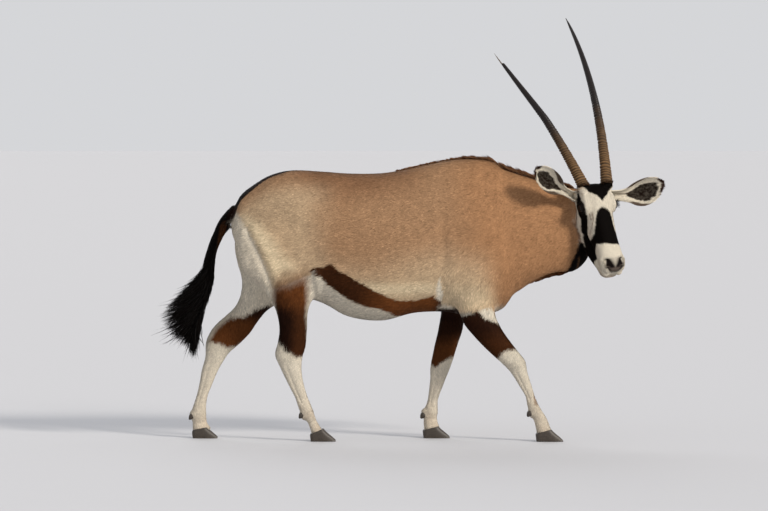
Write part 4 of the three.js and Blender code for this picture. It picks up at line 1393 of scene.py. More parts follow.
def strand_mesh(name, paths, widths, across, paint, charts, facing=None):
    """Strands as closed spindles joined in one mesh. paths has the points of each strand
    from root to tip, widths its width at each point between, across a way across each
    strand, paint a colour for each point, and charts the root's place on an unwrap of the
    skin. With facing, the skin's normal under each strand, a strand is a flat blade that
    takes its light from that normal, as hair that lies on hide does."""
    count, points = paths.shape[:2]
    rings = points - 2
    sides = 3 if facing is None else 2
    along = np.gradient(paths, axis=1)
    side = unit(np.cross(np.cross(along, across[:, None]), along))
    half = widths[:, :, None] / 2
    inner, s = paths[:, 1:-1], side[:, 1:-1]
    corners = [inner + s * half, inner - s * half]
    if sides == 3:
        out = unit(np.cross(side, along))[:, 1:-1]
        corners.append(inner + out * half * STRAND_DEPTH)
    corners = np.stack(corners, axis=2).reshape(count, rings * sides, 3)
    verts = np.concatenate([paths[:, :1], corners, paths[:, -1:]], axis=1)
    per = rings * sides + 2
    tip = per - 1
    if sides == 2:
        faces = [(0, 2, 1), (1, 2, 3), (0, 1, 3), (0, 3, 2)]
    else:
        faces = [(0, 3, 1), (0, 2, 3), (0, 1, 2)]
        for r in range(rings - 1):
            a, b = 1 + r * 3, 4 + r * 3
            for i, j in ((0, 2), (2, 1), (1, 0)):
                faces += [(a + i, a + j, b + j), (a + i, b + j, b + i)]
        a = 1 + (rings - 1) * 3
        faces += [(a, a + 2, tip), (a + 2, a + 1, tip), (a + 1, a, tip)]
    faces = np.array(faces)
    loops = (faces[None] + (np.arange(count) * per)[:, None, None]).reshape(-1)
    triangles = len(faces) * count

    mesh = bpy.data.meshes.new(name)
    mesh.vertices.add(count * per)
    mesh.vertices.foreach_set("co", verts.ravel())
    mesh.loops.add(triangles * 3)
    mesh.loops.foreach_set("vertex_index", loops.astype(np.int32))
    mesh.polygons.add(triangles)
    mesh.polygons.foreach_set("loop_start", np.arange(triangles, dtype=np.int32) * 3)
    mesh.update(calc_edges=True)
    spread = np.concatenate(
        [paint[:, :1], np.repeat(paint[:, 1:-1], sides, axis=1), paint[:, -1:]], axis=1)
    set_colours(mesh, "coat_colour", spread.reshape(-1, 3))

    patch = 0.003
    v = np.concatenate([[0], np.repeat(np.linspace(0.2, 0.8, rings), sides), [1]])
    u = np.concatenate([[0.5], np.tile([0.0, 1.0, 0.5][:sides], rings), [0.5]])
    corner = np.stack([u, v], axis=1) * patch
    places = charts[:, None] * (1 - patch) + corner[None]
    uv = places.reshape(-1, 2)[loops]
    mesh.uv_layers.new(name="OFBake").data.foreach_set("uv", uv.ravel())
    if facing is not None:
        lean = side[:, 1] * 0.35
        normals = np.stack([facing, facing + lean, facing - lean, facing], axis=1)
        mesh.shade_smooth()
        mesh.normals_split_custom_set_from_vertices(unit(normals).reshape(-1, 3))
    return mesh


def chart_of(places, piece):
    """Each place on an unwrap of its part of the skin: along it, and round it."""
    x, y, z = places.T
    if piece == "head":
        local = to_head(places)
        round_it = np.arctan2(local[:, 1], local[:, 2] + HEAD_CORE)
        chart = np.column_stack([local[:, 0] / 480, round_it / math.tau + 0.5])
    elif piece == "neck":
        axis = unit(np.array([1.0, 0.08, 0.1]))
        along = (places - [280, 0, 880]) @ axis
        round_it = np.arctan2(y - neck_middle(x), z - 900)
        chart = np.column_stack([along / 640, round_it / math.tau + 0.5])
    elif piece.startswith("legs"):
        half = np.where(y > 0, 0.5, 0.0)
        out = LEG_OUT_HIND if piece.endswith("hind") else LEG_OUT_FRONT
        round_it = np.arctan2(np.abs(y) - out, x - leg_middle_x(places, piece))
        chart = np.column_stack([z / 960, (round_it / math.tau + 0.5) * 0.48 + half])
    else:
        round_it = np.arctan2(np.abs(y), z - 850)
        chart = np.column_stack([(x + 860) / 1400, round_it / math.pi])
    return np.clip(chart, 0, 1)


def leg_middle_x(places, piece):
    """Middle of the leg at each height, seen from the side."""
    middle = np.zeros(len(places))
    for side in ("right", "left"):
        rows = np.array(LEGS[f"{piece[5:]}_{side}"][0], float)
        centre = (rows[:, 0:2] + rows[:, 2:4]) / 2
        mine = (places[:, 1] > 0) == (side == "left")
        middle[mine] = np.interp(places[mine, 2], centre[::-1, 1], centre[::-1, 0])
    return middle


def lie_of_hair(places, normals):
    """Which way the short coat lies at each place."""
    x, _, z = places.T
    lie = mix([-1.0, 0, -0.3], [-0.85, 0, -0.5], ease(300, 500, x))
    leg = np.maximum(ease(-250, -380, x), ease(120, 240, x))
    down = np.maximum(ease(860, 560, z) * leg, ease(520, 420, z))
    lie = mix(lie, [-0.12, 0, -1.0], down)
    lie = mix(lie, [-0.35, 0, -1.0], dock_share(places))
    lie = mix(lie, HEAD_TURN @ np.array([-1.0, 0, -0.15]), head_share(places))
    turn = 0.25 * noise(places, 60, 21) + 0.12 * noise(places, 14, 22)
    lie = unit(lie - normals * np.sum(lie * normals, axis=1)[:, None])
    return unit(lie + np.cross(normals, lie) * turn[:, None])


def hair_sizes(places):
    """Length, width and lift of a tuft at each place."""
    s = sizes()
    z = places[:, 2]
    low = ease(620, 280, z)
    length = s.hair_length / MM * (1 - 0.4 * low)
    width = s.hair_width / MM * (1 - 0.35 * low)
    lift = s.coat_depth / MM * (0.6 - 0.3 * low)
    for line in HOCK_TUFTS:
        tuft = stroke(places, line, 20)
        length = length + 30 * tuft
        lift = lift + 3 * tuft
    on_head = head_share(places)
    snout = ease(250, 400, to_head(places)[:, 0])
    length = length + (9.5 - 5 * snout - length) * on_head
    width = width + (1.9 - 0.7 * snout - width) * on_head
    lift = lift + (0.9 - 0.4 * snout - lift) * on_head
    return length, width, lift


def scatter(places, normals, triangles, density, count, rng):
    """Even random roots on triangles: place and normal of each."""
    a, b, c = (places[triangles[:, i]] for i in range(3))
    area = np.linalg.norm(np.cross(b - a, c - a), axis=1) / 2 * density
    total = np.cumsum(area)
    picks = (np.arange(count) + rng.random(count)) / count * total[-1]
    chosen = np.minimum(np.searchsorted(total, picks), len(total) - 1)
    r = rng.random((count, 2))
    flip = r.sum(axis=1) > 1
    r[flip] = 1 - r[flip]
    u, v = r[:, :1], r[:, 1:]
    w = 1 - u - v
    t = triangles[chosen]
    place = places[t[:, 0]] * w + places[t[:, 1]] * u + places[t[:, 2]] * v
    normal = unit(normals[t[:, 0]] * w + normals[t[:, 1]] * u + normals[t[:, 2]] * v)
    return place, normal


def tuft_paths(roots, normals, lie, length, lift, bend=0.4):
    """Root, middle and tip of tufts that rise from the skin and bend over to lie on it."""
    middle = roots + lie * (length * bend)[:, None] + normals * (lift * 0.75)[:, None]
    tips = roots + lie * length[:, None] + normals * lift[:, None]
    return np.stack([roots - normals * 1.2, middle, tips], axis=1)


def skin_arrays():
    """The finished skin's places and normals in measuring millimetres, and triangles."""
    mesh = bpy.data.objects["skin"].data
    mesh.calc_loop_triangles()
    triangles = read(mesh.loop_triangles, "vertices", 3, np.int32)
    return read_places(mesh) / MM - FRAME_SHIFT, read_normals(mesh), triangles


def roots_on_skin(starts, way):
    """Where lines from the starts along a way first meet the skin."""
    places, _, triangles = skin_arrays()
    tree = BVHTree.FromPolygons(places.tolist(), triangles.tolist())
    found = [tree.ray_cast(Vector(start), Vector(way))[0] or start for start in starts]
    return np.array([list(place) for place in found])


def ear_faces(triangles):
    """Which triangles belong to each ear's shell."""
    mesh = bpy.data.objects["skin"].data
    part = read(mesh.attributes["part"].data, "value", 1, np.float32)[triangles[:, 0], 0]
    return {name: part == number + 1 for number, name in enumerate(ears())}


def past_seam(x, z, seam):
    """Which places lie on a seam's right hand, seen along it from its first point."""
    (x0, z0), (x1, z1) = seam
    return (x - x0) * (z1 - z0) - (z - z0) * (x1 - x0) < 0


def coat_regions(places, triangles):
    """The piece of coat that each triangle belongs to."""
    middle = places[triangles].mean(axis=1)
    x, y, z = middle.T
    head = head_share(middle) >= 0.5
    neck = past_seam(x, z, NECK_SEAM) & (z > 540) & ~head
    tail = (x < -705) & (z > 600)
    hind = past_seam(x, z, THIGH_SEAM) & (x < -180) & ~tail
    front = (z < 560) & (x > 80) & (x < 700) & ~neck
    front |= (z < 533) & (x > 60)
    torso = ~(head | neck | hind | front)
    regions = {
        "head": head,
        "neck": neck,
        "legs_hind": hind,
        "legs_front": front & ~head,
        "torso_right": torso & (y < 0),
        "torso_left": torso & (y >= 0),
    }
    on_ears = np.any(list(ear_faces(triangles).values()), axis=0)
    return {name: region & ~on_ears for name, region in regions.items()}


def build_short_coat():
    """Short hair in flat tufts over the whole skin, one piece for each part."""
    places, normals, triangles = skin_arrays()
    regions = coat_regions(places, triangles)
    material = hair_material("short_flat_hair")
    for number, (name, count) in enumerate(COAT_COUNTS.items()):
        rng = np.random.default_rng(100 + number)
        mine = triangles[regions[name]]
        middle = places[mine].mean(axis=1)
        length, width, _ = hair_sizes(middle)
        haired = 1 - ease(0.25, 0.5, bare_share(middle))
        count = int(count * sizes().coat_share)
        root, normal = scatter(places, normals, mine, haired / (length * width), count, rng)
        lie = lie_of_hair(root, normal)
        lie = unit(lie + np.cross(normal, lie) * rng.normal(0, 0.13, (count, 1)))
        length, width, lift = hair_sizes(root)
        length = length * rng.uniform(0.65, 1.2, count)
        lift = lift * rng.uniform(0.5, 1.3, count)
        paths = tuft_paths(root, normal, lie, length, lift)
        calm = (1 - 0.65 * head_share(root)) * (1 - 0.5 * ease(560, 400, root[:, 2]))
        clump = 0.15 * noise(root, 8, 51) + 0.08 * noise(root, 20, 52)
        clump = 1 + calm * clump
        paint = paint_skin(root) * (rng.normal(1, 0.15, count) * clump)[:, None]
        wide = (width * rng.uniform(0.8, 1.2, count))[:, None]
        mesh = strand_mesh(f"coat_{name}", paths, wide, np.cross(normal, lie),
                           along_strands(paint, COAT_TONES), chart_of(root, name), normal)
        finish_piece(f"coat_{name}", mesh, material)
    build_ear_coat(places, normals, triangles, material)


def build_ear_coat(places, normals, triangles, material):
    """Short hair over the ears, longer in the cup, where it leans over the opening."""
    for number, (name, mask) in enumerate(ear_faces(triangles).items()):
        rng = np.random.default_rng(200 + number)
        count = int(EAR_TUFTS * sizes().coat_share)
        mine = triangles[mask]
        root, normal = scatter(places, normals, mine, np.ones(len(mine)), count, rng)
        t, share, along, face, _ = ear_place(root, name)
        in_cup = ease(0, 0.3, normal @ face)
        rim = ease(0.8, 0.95, np.abs(share))
        lie = along + face * (0.35 * in_cup)[:, None] + rng.normal(0, 0.14, (count, 3))
        lie = unit(lie - normal * np.sum(lie * normal, axis=1)[:, None])
        length = rng.uniform(5, 8, count) + 4 * in_cup - 2.5 * rim
        lift = (rng.uniform(0.4, 0.9, count) + 1.6 * in_cup) * (1 - 0.7 * rim)
        paths = tuft_paths(root, normal, lie, length, lift)
        paint = paint_ear(root, normal, name) * rng.normal(1, 0.08 + 0.06 * in_cup, count)[:, None]
        half = np.where(in_cup > 0.5, 0.5, 0)
        charts = np.clip(np.column_stack([t, (share * 0.5 + 0.5) * 0.48 + half]), 0, 1)
        mesh = strand_mesh(f"coat_ear_{name}", paths, rng.uniform(1.1, 1.8, (count, 1)),
                           np.cross(normal, lie), along_strands(paint, EAR_TONES), charts, normal)
        finish_piece(f"coat_ear_{name}", mesh, material)


def along_strands(paint, tones):
    """Each strand's colour from its root to its tip."""
    return np.clip(paint[:, None] * np.asarray(tones)[None, :, None], 0, 1)


def curved_strands(roots, ways, tips, points, elbow, wave, rng):
    """Paths that leave their root along a way and bend over to their tip."""
    reach = np.linalg.norm(tips - roots, axis=1)[:, None]
    knee = roots + ways * reach * elbow
    t = np.linspace(0, 1, points)[None, :, None]
    paths = (1 - t) ** 2 * roots[:, None] + 2 * t * (1 - t) * knee[:, None] + t**2 * tips[:, None]
    phase = rng.uniform(0, math.tau, (len(roots), 1, 3))
    ripple = np.sin(t * rng.uniform(3, 7, (len(roots), 1, 1)) + phase)
    return paths + ripple * wave * t


def strand_widths(width, points, tip_share=0.25):
    """Widths between root and tip, widest at the first third."""
    t = np.linspace(0, 1, points)[1:-1]
    shape = np.interp(t, [0, 0.3, 0.8, 1], [0.75, 1, 0.65, tip_share])
    return width[:, None] * shape[None]


def long_count(full):
    """A count of long hairs, which thin out less than the short coat does."""
    return int(full * max(sizes().coat_share, 0.3))


def finish_strands(name, hair, paths, width, across, paint, charts, tip_share=0.25):
    """Strands of the given widths as one piece of dark hair."""
    across = np.broadcast_to(across, (len(paths), 3))
    widths = strand_widths(width, paths.shape[1], tip_share)
    mesh = strand_mesh(name, paths, widths, across, paint, charts)
    finish_piece(name, mesh, hair)


def build_mane():
    """Short dark hair that stands along the neck's top and leans back over it."""
    rng = np.random.default_rng(31)
    brown, stripe, spine = (np.array(getattr(colours(), n)) for n in ("brown", "stripe", "spine"))
    length = sizes().mane_length / MM
    count = long_count(MANE_HAIRS)
    t = rng.uniform(0, 1, count)
    ahead = line_way(MANE_LINE, t)
    lean = rng.normal(0, 0.4, count)
    clump = noise(vectors(t * 62, lean, 0), 1.0, 61)
    ragged = noise(vectors(t * 210, lean, 0), 1.0, 63)
    height = np.interp(t, [0, 0.25, 0.6, 0.9, 1], [0.3, 0.55, 1, 1, 0.7])
    height = height * (0.85 + 0.35 * clump + 0.25 * ragged)
    starts = spline(MANE_LINE, t) + vectors(0, lean * 13, 80)
    roots = roots_on_skin(starts, (0, 0, -1)) - [0, 0, 2]
    ways = unit(-ahead * 0.5 + vectors(0, lean * 0.5, 1))
    reach = length * height * rng.uniform(0.7, 1.1, count)
    rise = 21 * height * rng.uniform(0.5, 1.2, count)
    tips = roots - ahead * reach[:, None] + vectors(0, lean * 16, rise)
    paths = curved_strands(roots, ways, tips, 5, 0.5, 1.0, rng)
    tone = rng.normal(1, 0.25, (count, 1)) * (1 + 0.15 * clump)[:, None]
    edge = ease(0.3, 1.0, np.abs(lean))[:, None]
    paint = ((brown + stripe) / 2 * (1 - edge) + spine * edge) * tone
    finish_strands("mane", hair_material("coarse_mane_hair", 0.5), paths,
                   rng.uniform(1.6, 3.0, count), [0.0, 1, 0.2],
                   along_strands(paint, np.linspace(0.9, 1.5, 5)),
                   np.column_stack([t, np.clip(lean * 0.2 + 0.5, 0, 1)]))


def build_throat_fringe():
    """Longer dark hair that hangs back along the throat."""
    rng = np.random.default_rng(32)
    count = long_count(FRINGE_HAIRS)
    line = [[row[2], side, row[3]] for row, side in zip(NECK[1:5], NECK_SIDE[1:5])]
    t = rng.uniform(0.3, 0.9, count)
    clump = noise(vectors(t * 70, 0, 0), 1.0, 62)
    ahead = line_way(line, t)
    lean = rng.normal(0, 0.5, count)
    starts = spline(line, t) + vectors(0, lean * 18, -80)
    roots = roots_on_skin(starts, (0, 0, 1)) + [0, 0, 2]
    ways = unit(-ahead * 0.4 + vectors(0, lean * 0.4, -1))
    short = np.interp(t, [0.3, 0.5], [0.35, 1])
    reach = 34 * rng.uniform(0.5, 1.2, count) * (1 + 0.4 * clump) * short
    hang = rng.uniform(2, 11, count) * (1 + 0.5 * clump) * short
    tips = roots - ahead * reach[:, None] + vectors(0, lean * 8, -hang)
    paths = curved_strands(roots, ways, tips, 5, 0.4, 1.2, rng)
    dark = ease(0.3, 0.6, t)[:, None]
    base = np.array(colours().spine) * (1 - dark) + np.array(colours().brown) * 0.5 * dark
    paint = base * rng.normal(1, 0.15, (count, 1))
    finish_strands("throat_fringe", hair_material("throat_hair"), paths,
                   rng.uniform(1.6, 2.8, count), [0.5, 0, 0.5],
                   along_strands(paint, np.linspace(0.8, 1.2, 5)),
                   np.column_stack([t, np.clip(lean * 0.2 + 0.5, 0, 1)]))


def build_tail():
    """The brush and the dock's hair, which draw from one row of random numbers."""
    rng = np.random.default_rng(33)
    build_brush(rng)
    build_dock_hair(rng)


def build_brush(rng):
    """The tail's black brush of long strands, which swings back."""
    count = long_count(sizes().brush_strands)
    points = 9
    share = rng.uniform(0, 1, count)
    layer = rng.normal(0, 0.5, count).clip(-1, 1)
    t = np.clip(0.02 + 0.72 * share + rng.uniform(0, 0.2, count), 0, 0.98)
    line, tip_line = ([[x, 0, z] for x, z in side_view] for side_view in (BRUSH_LINE, BRUSH_TIPS))
    around = rng.uniform(0, math.tau, count)
    roots = spline(line, t) + vectors(np.cos(around) * 10, np.sin(around) * 10, 0)
    tips = spline(tip_line, share) + vectors(0, layer * BRUSH_HALF_WIDTH, 0)
    tips = tips + (roots - tips) * (0.42 * rng.random(count) ** 1.5)[:, None]
    stray = (rng.random(count) < 0.1)[:, None]
    tips = tips + stray * rng.normal(0, 1, (count, 3)) * [16, 10, 16]
    tips = tips + stray * (tips - roots) * 0.07
    ways = unit(line_way(line, t, 0.02) + vectors(rng.normal(0, 0.08, count), layer * 0.3, 0))
    paths = curved_strands(roots, ways, tips, points, 0.58, 6.0, rng)
    paint = np.array(colours().black) * 0.85 * rng.normal(1, 0.25, (count, 1))
    finish_strands("tail_brush", hair_material("coarse_tail_hair", 0.45, 0.02), paths,
                   rng.uniform(2.2, 4.6, count), unit(rng.normal(0, 1, (count, 3))),
                   along_strands(paint, np.linspace(0.85, 1.3, points)),
                   np.column_stack([t, around / math.tau]), 0.2)


def build_dock_hair(rng):
    """Longer hair all round the dock, down to the brush."""
    count = long_count(DOCK_HAIRS)
    rows = np.array(DOCK, float)
    t = rng.uniform(0.12, 1, count)
    front, rear = spline(rows[:, 0:2], t), spline(rows[:, 2:4], t)
    half = spline(rows[:, 4:5], t)[:, 0]
    around = rng.uniform(0, math.tau, count)
    middle, reach = (front + rear) / 2, (front - rear) / 2
    plane = middle + reach * (0.86 * np.cos(around))[:, None]
    roots = vectors(plane[:, 0], 0.86 * half * np.sin(around), plane[:, 1])
    out = unit(roots - vectors(middle[:, 0], 0, middle[:, 1]))
    down = line_way((rows[:, 0:2] + rows[:, 2:4]) / 2, t, 0.02)
    ahead = vectors(down[:, 0], 0, down[:, 1])
    length = np.interp(t, [0.1, 0.4, 1], [20, 38, 60]) * rng.uniform(0.7, 1.1, count)
    rise = np.interp(t, [0.1, 0.5, 1], [3, 7, 12]) * rng.uniform(0.5, 1.1, count)
    tips = roots + ahead * length[:, None] + out * rise[:, None]
    paths = curved_strands(roots, unit(ahead + out * 0.4), tips, 5, 0.5, 1.0, rng)
    paint = paint_body(roots) * rng.normal(1, 0.15, (count, 1))
    finish_strands("dock_hair", hair_material("dock_hair"), paths, rng.uniform(2.2, 3.6, count),
                   np.cross(out, ahead), along_strands(paint, np.ones(5)),
                   np.column_stack([t, around / math.tau]))


def head_strands(sides, elbow, wave, rng):
    """Curved strands from the roots, ways and tips of both sides in the head's own frame."""
    roots, ways, tips = (np.concatenate(part) for part in zip(*sides))
    ways = ways @ HEAD_TURN.T
    return curved_strands(from_head(roots), ways, from_head(tips), 5, elbow, wave, rng)


def build_lashes():
    """Stiff black lashes along the upper lids."""
    rng = np.random.default_rng(34)
    sides = []
    for side in (-1, 1):
        centre, axis, ahead, up = eye_frame(side)
        u = rng.uniform(-0.85, 0.8, LASHES)
        v = np.sqrt(1 - u**2) * EYE_OPENING[1] * 1.1 + rng.uniform(0, 2, LASHES)
        u = u * EYE_OPENING[0]
        way = (ahead * u[:, None] + up * (v - EYE_SLANT * u)[:, None]) / EYE_RADIUS
        way = unit(way + axis * 0.85)
        root = centre + way * (EYE_RADIUS + 2.5)
        out = unit(way + axis * 0.6 + up * 0.25 + rng.normal(0, 0.1, (LASHES, 3)))
        length = rng.uniform(10, 17, LASHES)[:, None]
        sides.append((root, out, root + (out - up * 0.2) * length))
    paths = head_strands(sides, 0.5, 0.3, rng)
    paint = np.tile(np.array(colours().black), (len(paths), 5, 1))
    charts = rng.random((len(paths), 2))
    finish_strands("lashes", hair_material("stiff_lashes", 0.45), paths,
                   np.full(len(paths), 0.9), [0.0, 0, 1], paint, charts)


def build_horn_hair():
    """A fuzzy collar of short brown hair where each horn leaves the head."""
    rng = np.random.default_rng(35)
    sides = []
    for side in (-1, 1):
        around = rng.uniform(0, math.tau, HORN_BASE_HAIRS)
        out = vectors(0, np.cos(around), np.sin(around))
        root = on_side(HORN_ROOT, side) + out * 25 + [6, 0, 0]
        up = np.array([-1.0, side * 0.2, 0])
        way = unit(up + out * 0.12 + rng.normal(0, 0.16, (HORN_BASE_HAIRS, 3)))
        length = rng.uniform(8, 19, HORN_BASE_HAIRS)[:, None]
        sides.append((root, way, root + way * length + out * 2))
    paths = head_strands(sides, 0.4, 1.5, rng)
    count = len(paths)
    paint = mix(colours().black, colours().spine, rng.uniform(0, 1, count) ** 3)
    finish_strands("horn_base_hair", hair_material("horn_base_hair"), paths,
                   rng.uniform(1, 1.8, count), [0.0, 1, 0],
                   along_strands(paint, np.linspace(0.9, 1.4, 5)), rng.random((count, 2)))


# Horns, hooves and eyes


def horn_path(side, length, steps=24):
    """Places along a horn that sweeps back and closes in towards its tip."""
    at = on_side(HORN_ROOT, side)
    points = []
    for i in range(steps + 1):
        points.append(at.copy())
        t = i / steps
        back, spread = math.radians(1 + 32 * t), math.radians(12.5 - 5 * t)
        go = np.array([-math.cos(back) * math.cos(spread), side * math.sin(spread),
                       -math.sin(back) * math.cos(spread)])
        at = at + go * length / steps
    return from_head(points)


def horn_rings(name, side):
    """Rings of a horn, ridged to past its middle and smooth and sharp above, and the places
    of its middle line with their shares of its length."""
    length = HORN_LENGTHS[name]
    t = np.linspace(0, 1, HORN_STEPS + 1)
    middle = spline(horn_path(side, length), t)
    ahead = unit(np.gradient(middle, axis=0))
    u = unit(np.cross([0, 1, 0], ahead))
    w = np.cross(ahead, u)
    angle = np.arange(HORN_SIDES) / HORN_SIDES * math.tau
    lean = 0.004 * np.cos(angle)[None] + 0.002 * np.sin(2 * angle + 1)[None]
    along = t[:, None] + lean
    uneven = along + 0.003 * np.sin(along * 43) + 0.002 * np.sin(along * 97 + side)
    turn = uneven / HORN_RING_SHARE * HORN_RINGS * math.tau
    ridge = np.clip(np.sin(turn) * 1.4 + 0.2, -1, 1)
    plain = horn_radius(t)
    fade = ease(HORN_RING_SHARE, 0.3, along) * ease(0, 0.012, along)
    knobs = 1 + 0.4 * np.sin(angle * 3 + 9 * along) * np.sin(along * 130)
    stations = np.repeat(t * length / 22, HORN_SIDES)
    fine = noise(vectors(np.tile(angle * 9, HORN_STEPS + 1), stations, 0), 1.0, 5)
    fine = fine.reshape(HORN_STEPS + 1, HORN_SIDES)
    radius = plain[:, None] + ridge * knobs * fade * 1.5
    radius = np.maximum(radius + 0.22 * fine * ease(1, 0.95, t)[:, None], 0.3)
    ring = u[:, None] * np.cos(angle)[None, :, None] + w[:, None] * np.sin(angle)[None, :, None]
    if name == "right":
        sag = np.sin(np.pi * np.clip((t - 0.45) / 0.55, 0, 1))
        middle = middle + np.array([-5.0, 0, -6.0]) * sag[:, None]
        chipped = ease(HORN_CHIP, HORN_CHIP + 0.012, t)
        radius = radius * (1 - 0.55 * chipped)[:, None]
        middle = middle - u * (chipped * plain * 0.5)[:, None]
    return middle[:, None] + ring * radius[..., None], middle, t


def paint_horn(name, places, middle, t):
    """Colour of a horn's places, and how far each is worn dark and smooth."""
    nearest = nearest_share(places, middle, t)
    brown, tip = np.array(colours().horn), np.array(colours().horn_tip)
    dark = ease(0.08, 0.45, nearest + 0.04 * noise(places, 30, 41))
    paint = brown * (1 - dark)[:, None] + tip * dark[:, None]
    centre = vectors(*(np.interp(nearest, t, middle[:, k]) for k in range(3)))
    away = np.linalg.norm(places - centre, axis=1)
    # Painted shade in the grooves between the rings, weaker where the horn is worn dark
    groove = ease(0.9, -1.1, away - horn_radius(nearest)) * (1 - 0.6 * dark)
    groove = groove * (0.8 + 0.2 * noise(places, 16, 45))
    streaks = 1 + 0.2 * noise(places, 6, 43) + 0.16 * noise(places, 18, 44)
    paint = paint * (streaks * (1 - 0.82 * groove))[:, None]
    paint = paint * (1 - 0.3 * ease(0.04, 0, nearest))[:, None]
    if name == "right":
        frayed = ease(HORN_CHIP - 0.004, HORN_CHIP + 0.006, nearest)
        paint = mix(paint, linear("#5A4630"), frayed)
    return paint, dark


def build_horn(name, side, material):
    rings, middle, t = horn_rings(name, side)
    bm = bmesh.new()
    roll_form(bm, rings)
    mesh = mesh_of(bm, f"horn_{name}")
    paint, dark = paint_horn(name, read_places(mesh), middle, t)
    set_colours(mesh, "coat_colour", paint)
    set_shares(mesh, "polish", dark)
    finish_piece(f"horn_sheath_{name}", mesh, material, [f"horn_{name}"])


def horn_radius(t):
    """Radius without the ridges, at shares of a horn's length."""
    radii = np.array(HORN_RADII)
    return sum(np.interp(t + k * 0.01, radii[:, 0], radii[:, 1]) for k in (-2, -1, 0, 1, 2)) / 5


def nearest_share(places, line, shares):
    """Share along a line of its nearest point to each place."""
    best = np.full(len(places), 1e18)
    found = np.zeros(len(places))
    for point, share in zip(line[::2], shares[::2]):
        away = np.sum((places - point) ** 2, axis=1)
        nearer = away < best
        best[nearer] = away[nearer]
        found[nearer] = share
    return found


def build_claw(name, side):
    """One claw of a cloven hoof, cut off under the coronet and flat on the floor."""
    heel, coronet, size = FEET[name]
    rows = np.array([
        [-4, 30, 2, -14, HOOF_WIDTH * 0.36],
        [14, 62, 14, -16, HOOF_WIDTH * 0.52],
        [48, 62, 48, -16, HOOF_WIDTH * 0.52],
        [HOOF_LENGTH - 38, 38, HOOF_LENGTH - 36, -16, HOOF_WIDTH * 0.44],
        [HOOF_LENGTH - 14, 18, HOOF_LENGTH - 12, -14, HOOF_WIDTH * 0.27],
        [HOOF_LENGTH, 5, HOOF_LENGTH, -8, HOOF_WIDTH * 0.09],
    ]) * size
    bm = bmesh.new()
    roll_form(bm, flesh_rings(rows, 48, 40, power=0.75))
    to_side = side * (HOOF_WIDTH / 2 + CLAW_GAP / 2) * size
    place = Matrix.Translation((heel[0], heel[1] + to_side, 0))
    turn = Matrix.Rotation(math.radians(side * CLAW_TURN), 4, "Z")
    bmesh.ops.transform(bm, matrix=place @ turn, verts=bm.verts)
    front = Vector((coronet[0], heel[1], coronet[1]))
    rear = Vector((coronet[2], heel[1], coronet[3]))
    slope = front - rear
    top = (rear, Vector((-slope.z, 0, slope.x)))
    sole = (Vector((0, 0, 0)), Vector((0, 0, -1)))
    for at, normal in (top, sole):
        geometry = [*bm.verts, *bm.edges, *bm.faces]
        bmesh.ops.bisect_plane(bm, geom=geometry, plane_co=at, plane_no=normal, clear_outer=True)
        bmesh.ops.holes_fill(bm, edges=[e for e in bm.edges if e.is_boundary], sides=0)
    sharp = [e for e in bm.edges if len(e.link_faces) == 2 and e.calc_face_angle() > 0.7]
    bmesh.ops.bevel(
        bm, geom=sharp, offset=1.2, segments=2, profile=0.5, affect="EDGES", material=-1)
    return mesh_of(bm, "claw")


def build_dewclaw(name, side):
    """A blunt claw behind a fetlock, tapered downwards and leaning back."""
    bm = bmesh.new()
    bmesh.ops.create_uvsphere(bm, u_segments=24, v_segments=16, radius=1)
    for vert in bm.verts:
        taper = 1 - 0.35 * max(-vert.co.z, 0)
        vert.co = (vert.co.x * taper, vert.co.y * taper, vert.co.z)
    at = np.array(FETLOCKS[name], float) + [-1, side * 14, -1]
    turn = Matrix.Rotation(math.radians(DEWCLAW_LEAN), 4, "Y")
    matrix = Matrix.Translation(Vector(at)) @ turn @ Matrix.Diagonal((*DEWCLAW, 1))
    bmesh.ops.transform(bm, matrix=matrix, verts=bm.verts)
    return mesh_of(bm, "dewclaw")


def build_hooves():
    material = hoof_material()
    for name, (heel, _, _) in FEET.items():
        outwards = 1 if heel[1] > 0 else -1
        for which, side in (("outer", outwards), ("inner", -outwards)):
            foot = f"{name}_{which}"
            finish_piece(f"claw_{foot}", build_claw(name, side), material,
                         [f"hoof_{foot}"])
            finish_piece(f"dew_{foot}", build_dewclaw(name, side), material,
                         [f"dewclaw_{foot}"])


def build_eyes():
    """Dark eyeballs with a domed cornea and a level, slot-shaped pupil."""
    material = eye_material()
    for name, side in (("right", -1), ("left", 1)):
        bm = bmesh.new()
        centre, axis, ahead, up = eye_frame(side)
        out = Vector(HEAD_TURN @ axis)
        centre = Vector(from_head(centre))
        matrix = Matrix.Translation(centre) @ out.to_track_quat("Z", "Y").to_matrix().to_4x4()
        bmesh.ops.create_uvsphere(
            bm, u_segments=64, v_segments=48, radius=EYE_RADIUS, matrix=matrix)
        mesh = mesh_of(bm, f"eye_{name}")
        places = read_places(mesh)
        away = places - np.array(centre)
        local = away @ HEAD_TURN
        u, v = local @ ahead, local @ up
        front = ease(0.6, 1.0, local @ axis / EYE_RADIUS)
        write_places(mesh, places + unit(away) * (front * 1.4)[:, None])
        iris = ease(17, 15.5, np.hypot(u, v))
        pupil = ease(1.15, 0.9, np.hypot(u / 8.5, v / 4))
        paint = mix(mix(linear("#0E0907"), linear("#170C07"), iris), linear("#050404"), pupil)
        set_colours(mesh, "coat_colour", paint)
        finish_piece(f"eyeball_{name}", mesh, material, [f"eye_{name}"])


# Stage


def add_lamp(name, way, strength, angle, colour):
    """A distant soft lamp shining along a way, which lights the floor evenly."""
    light = bpy.data.lights.new(name, "SUN")
    light.energy = strength
    light.angle = math.radians(angle)
    light.color = colour
    lamp = bpy.data.objects.new(name, light)
    lamp.rotation_euler = Vector(way).to_track_quat("-Z", "Y").to_euler()
    bpy.context.scene.collection.objects.link(lamp)


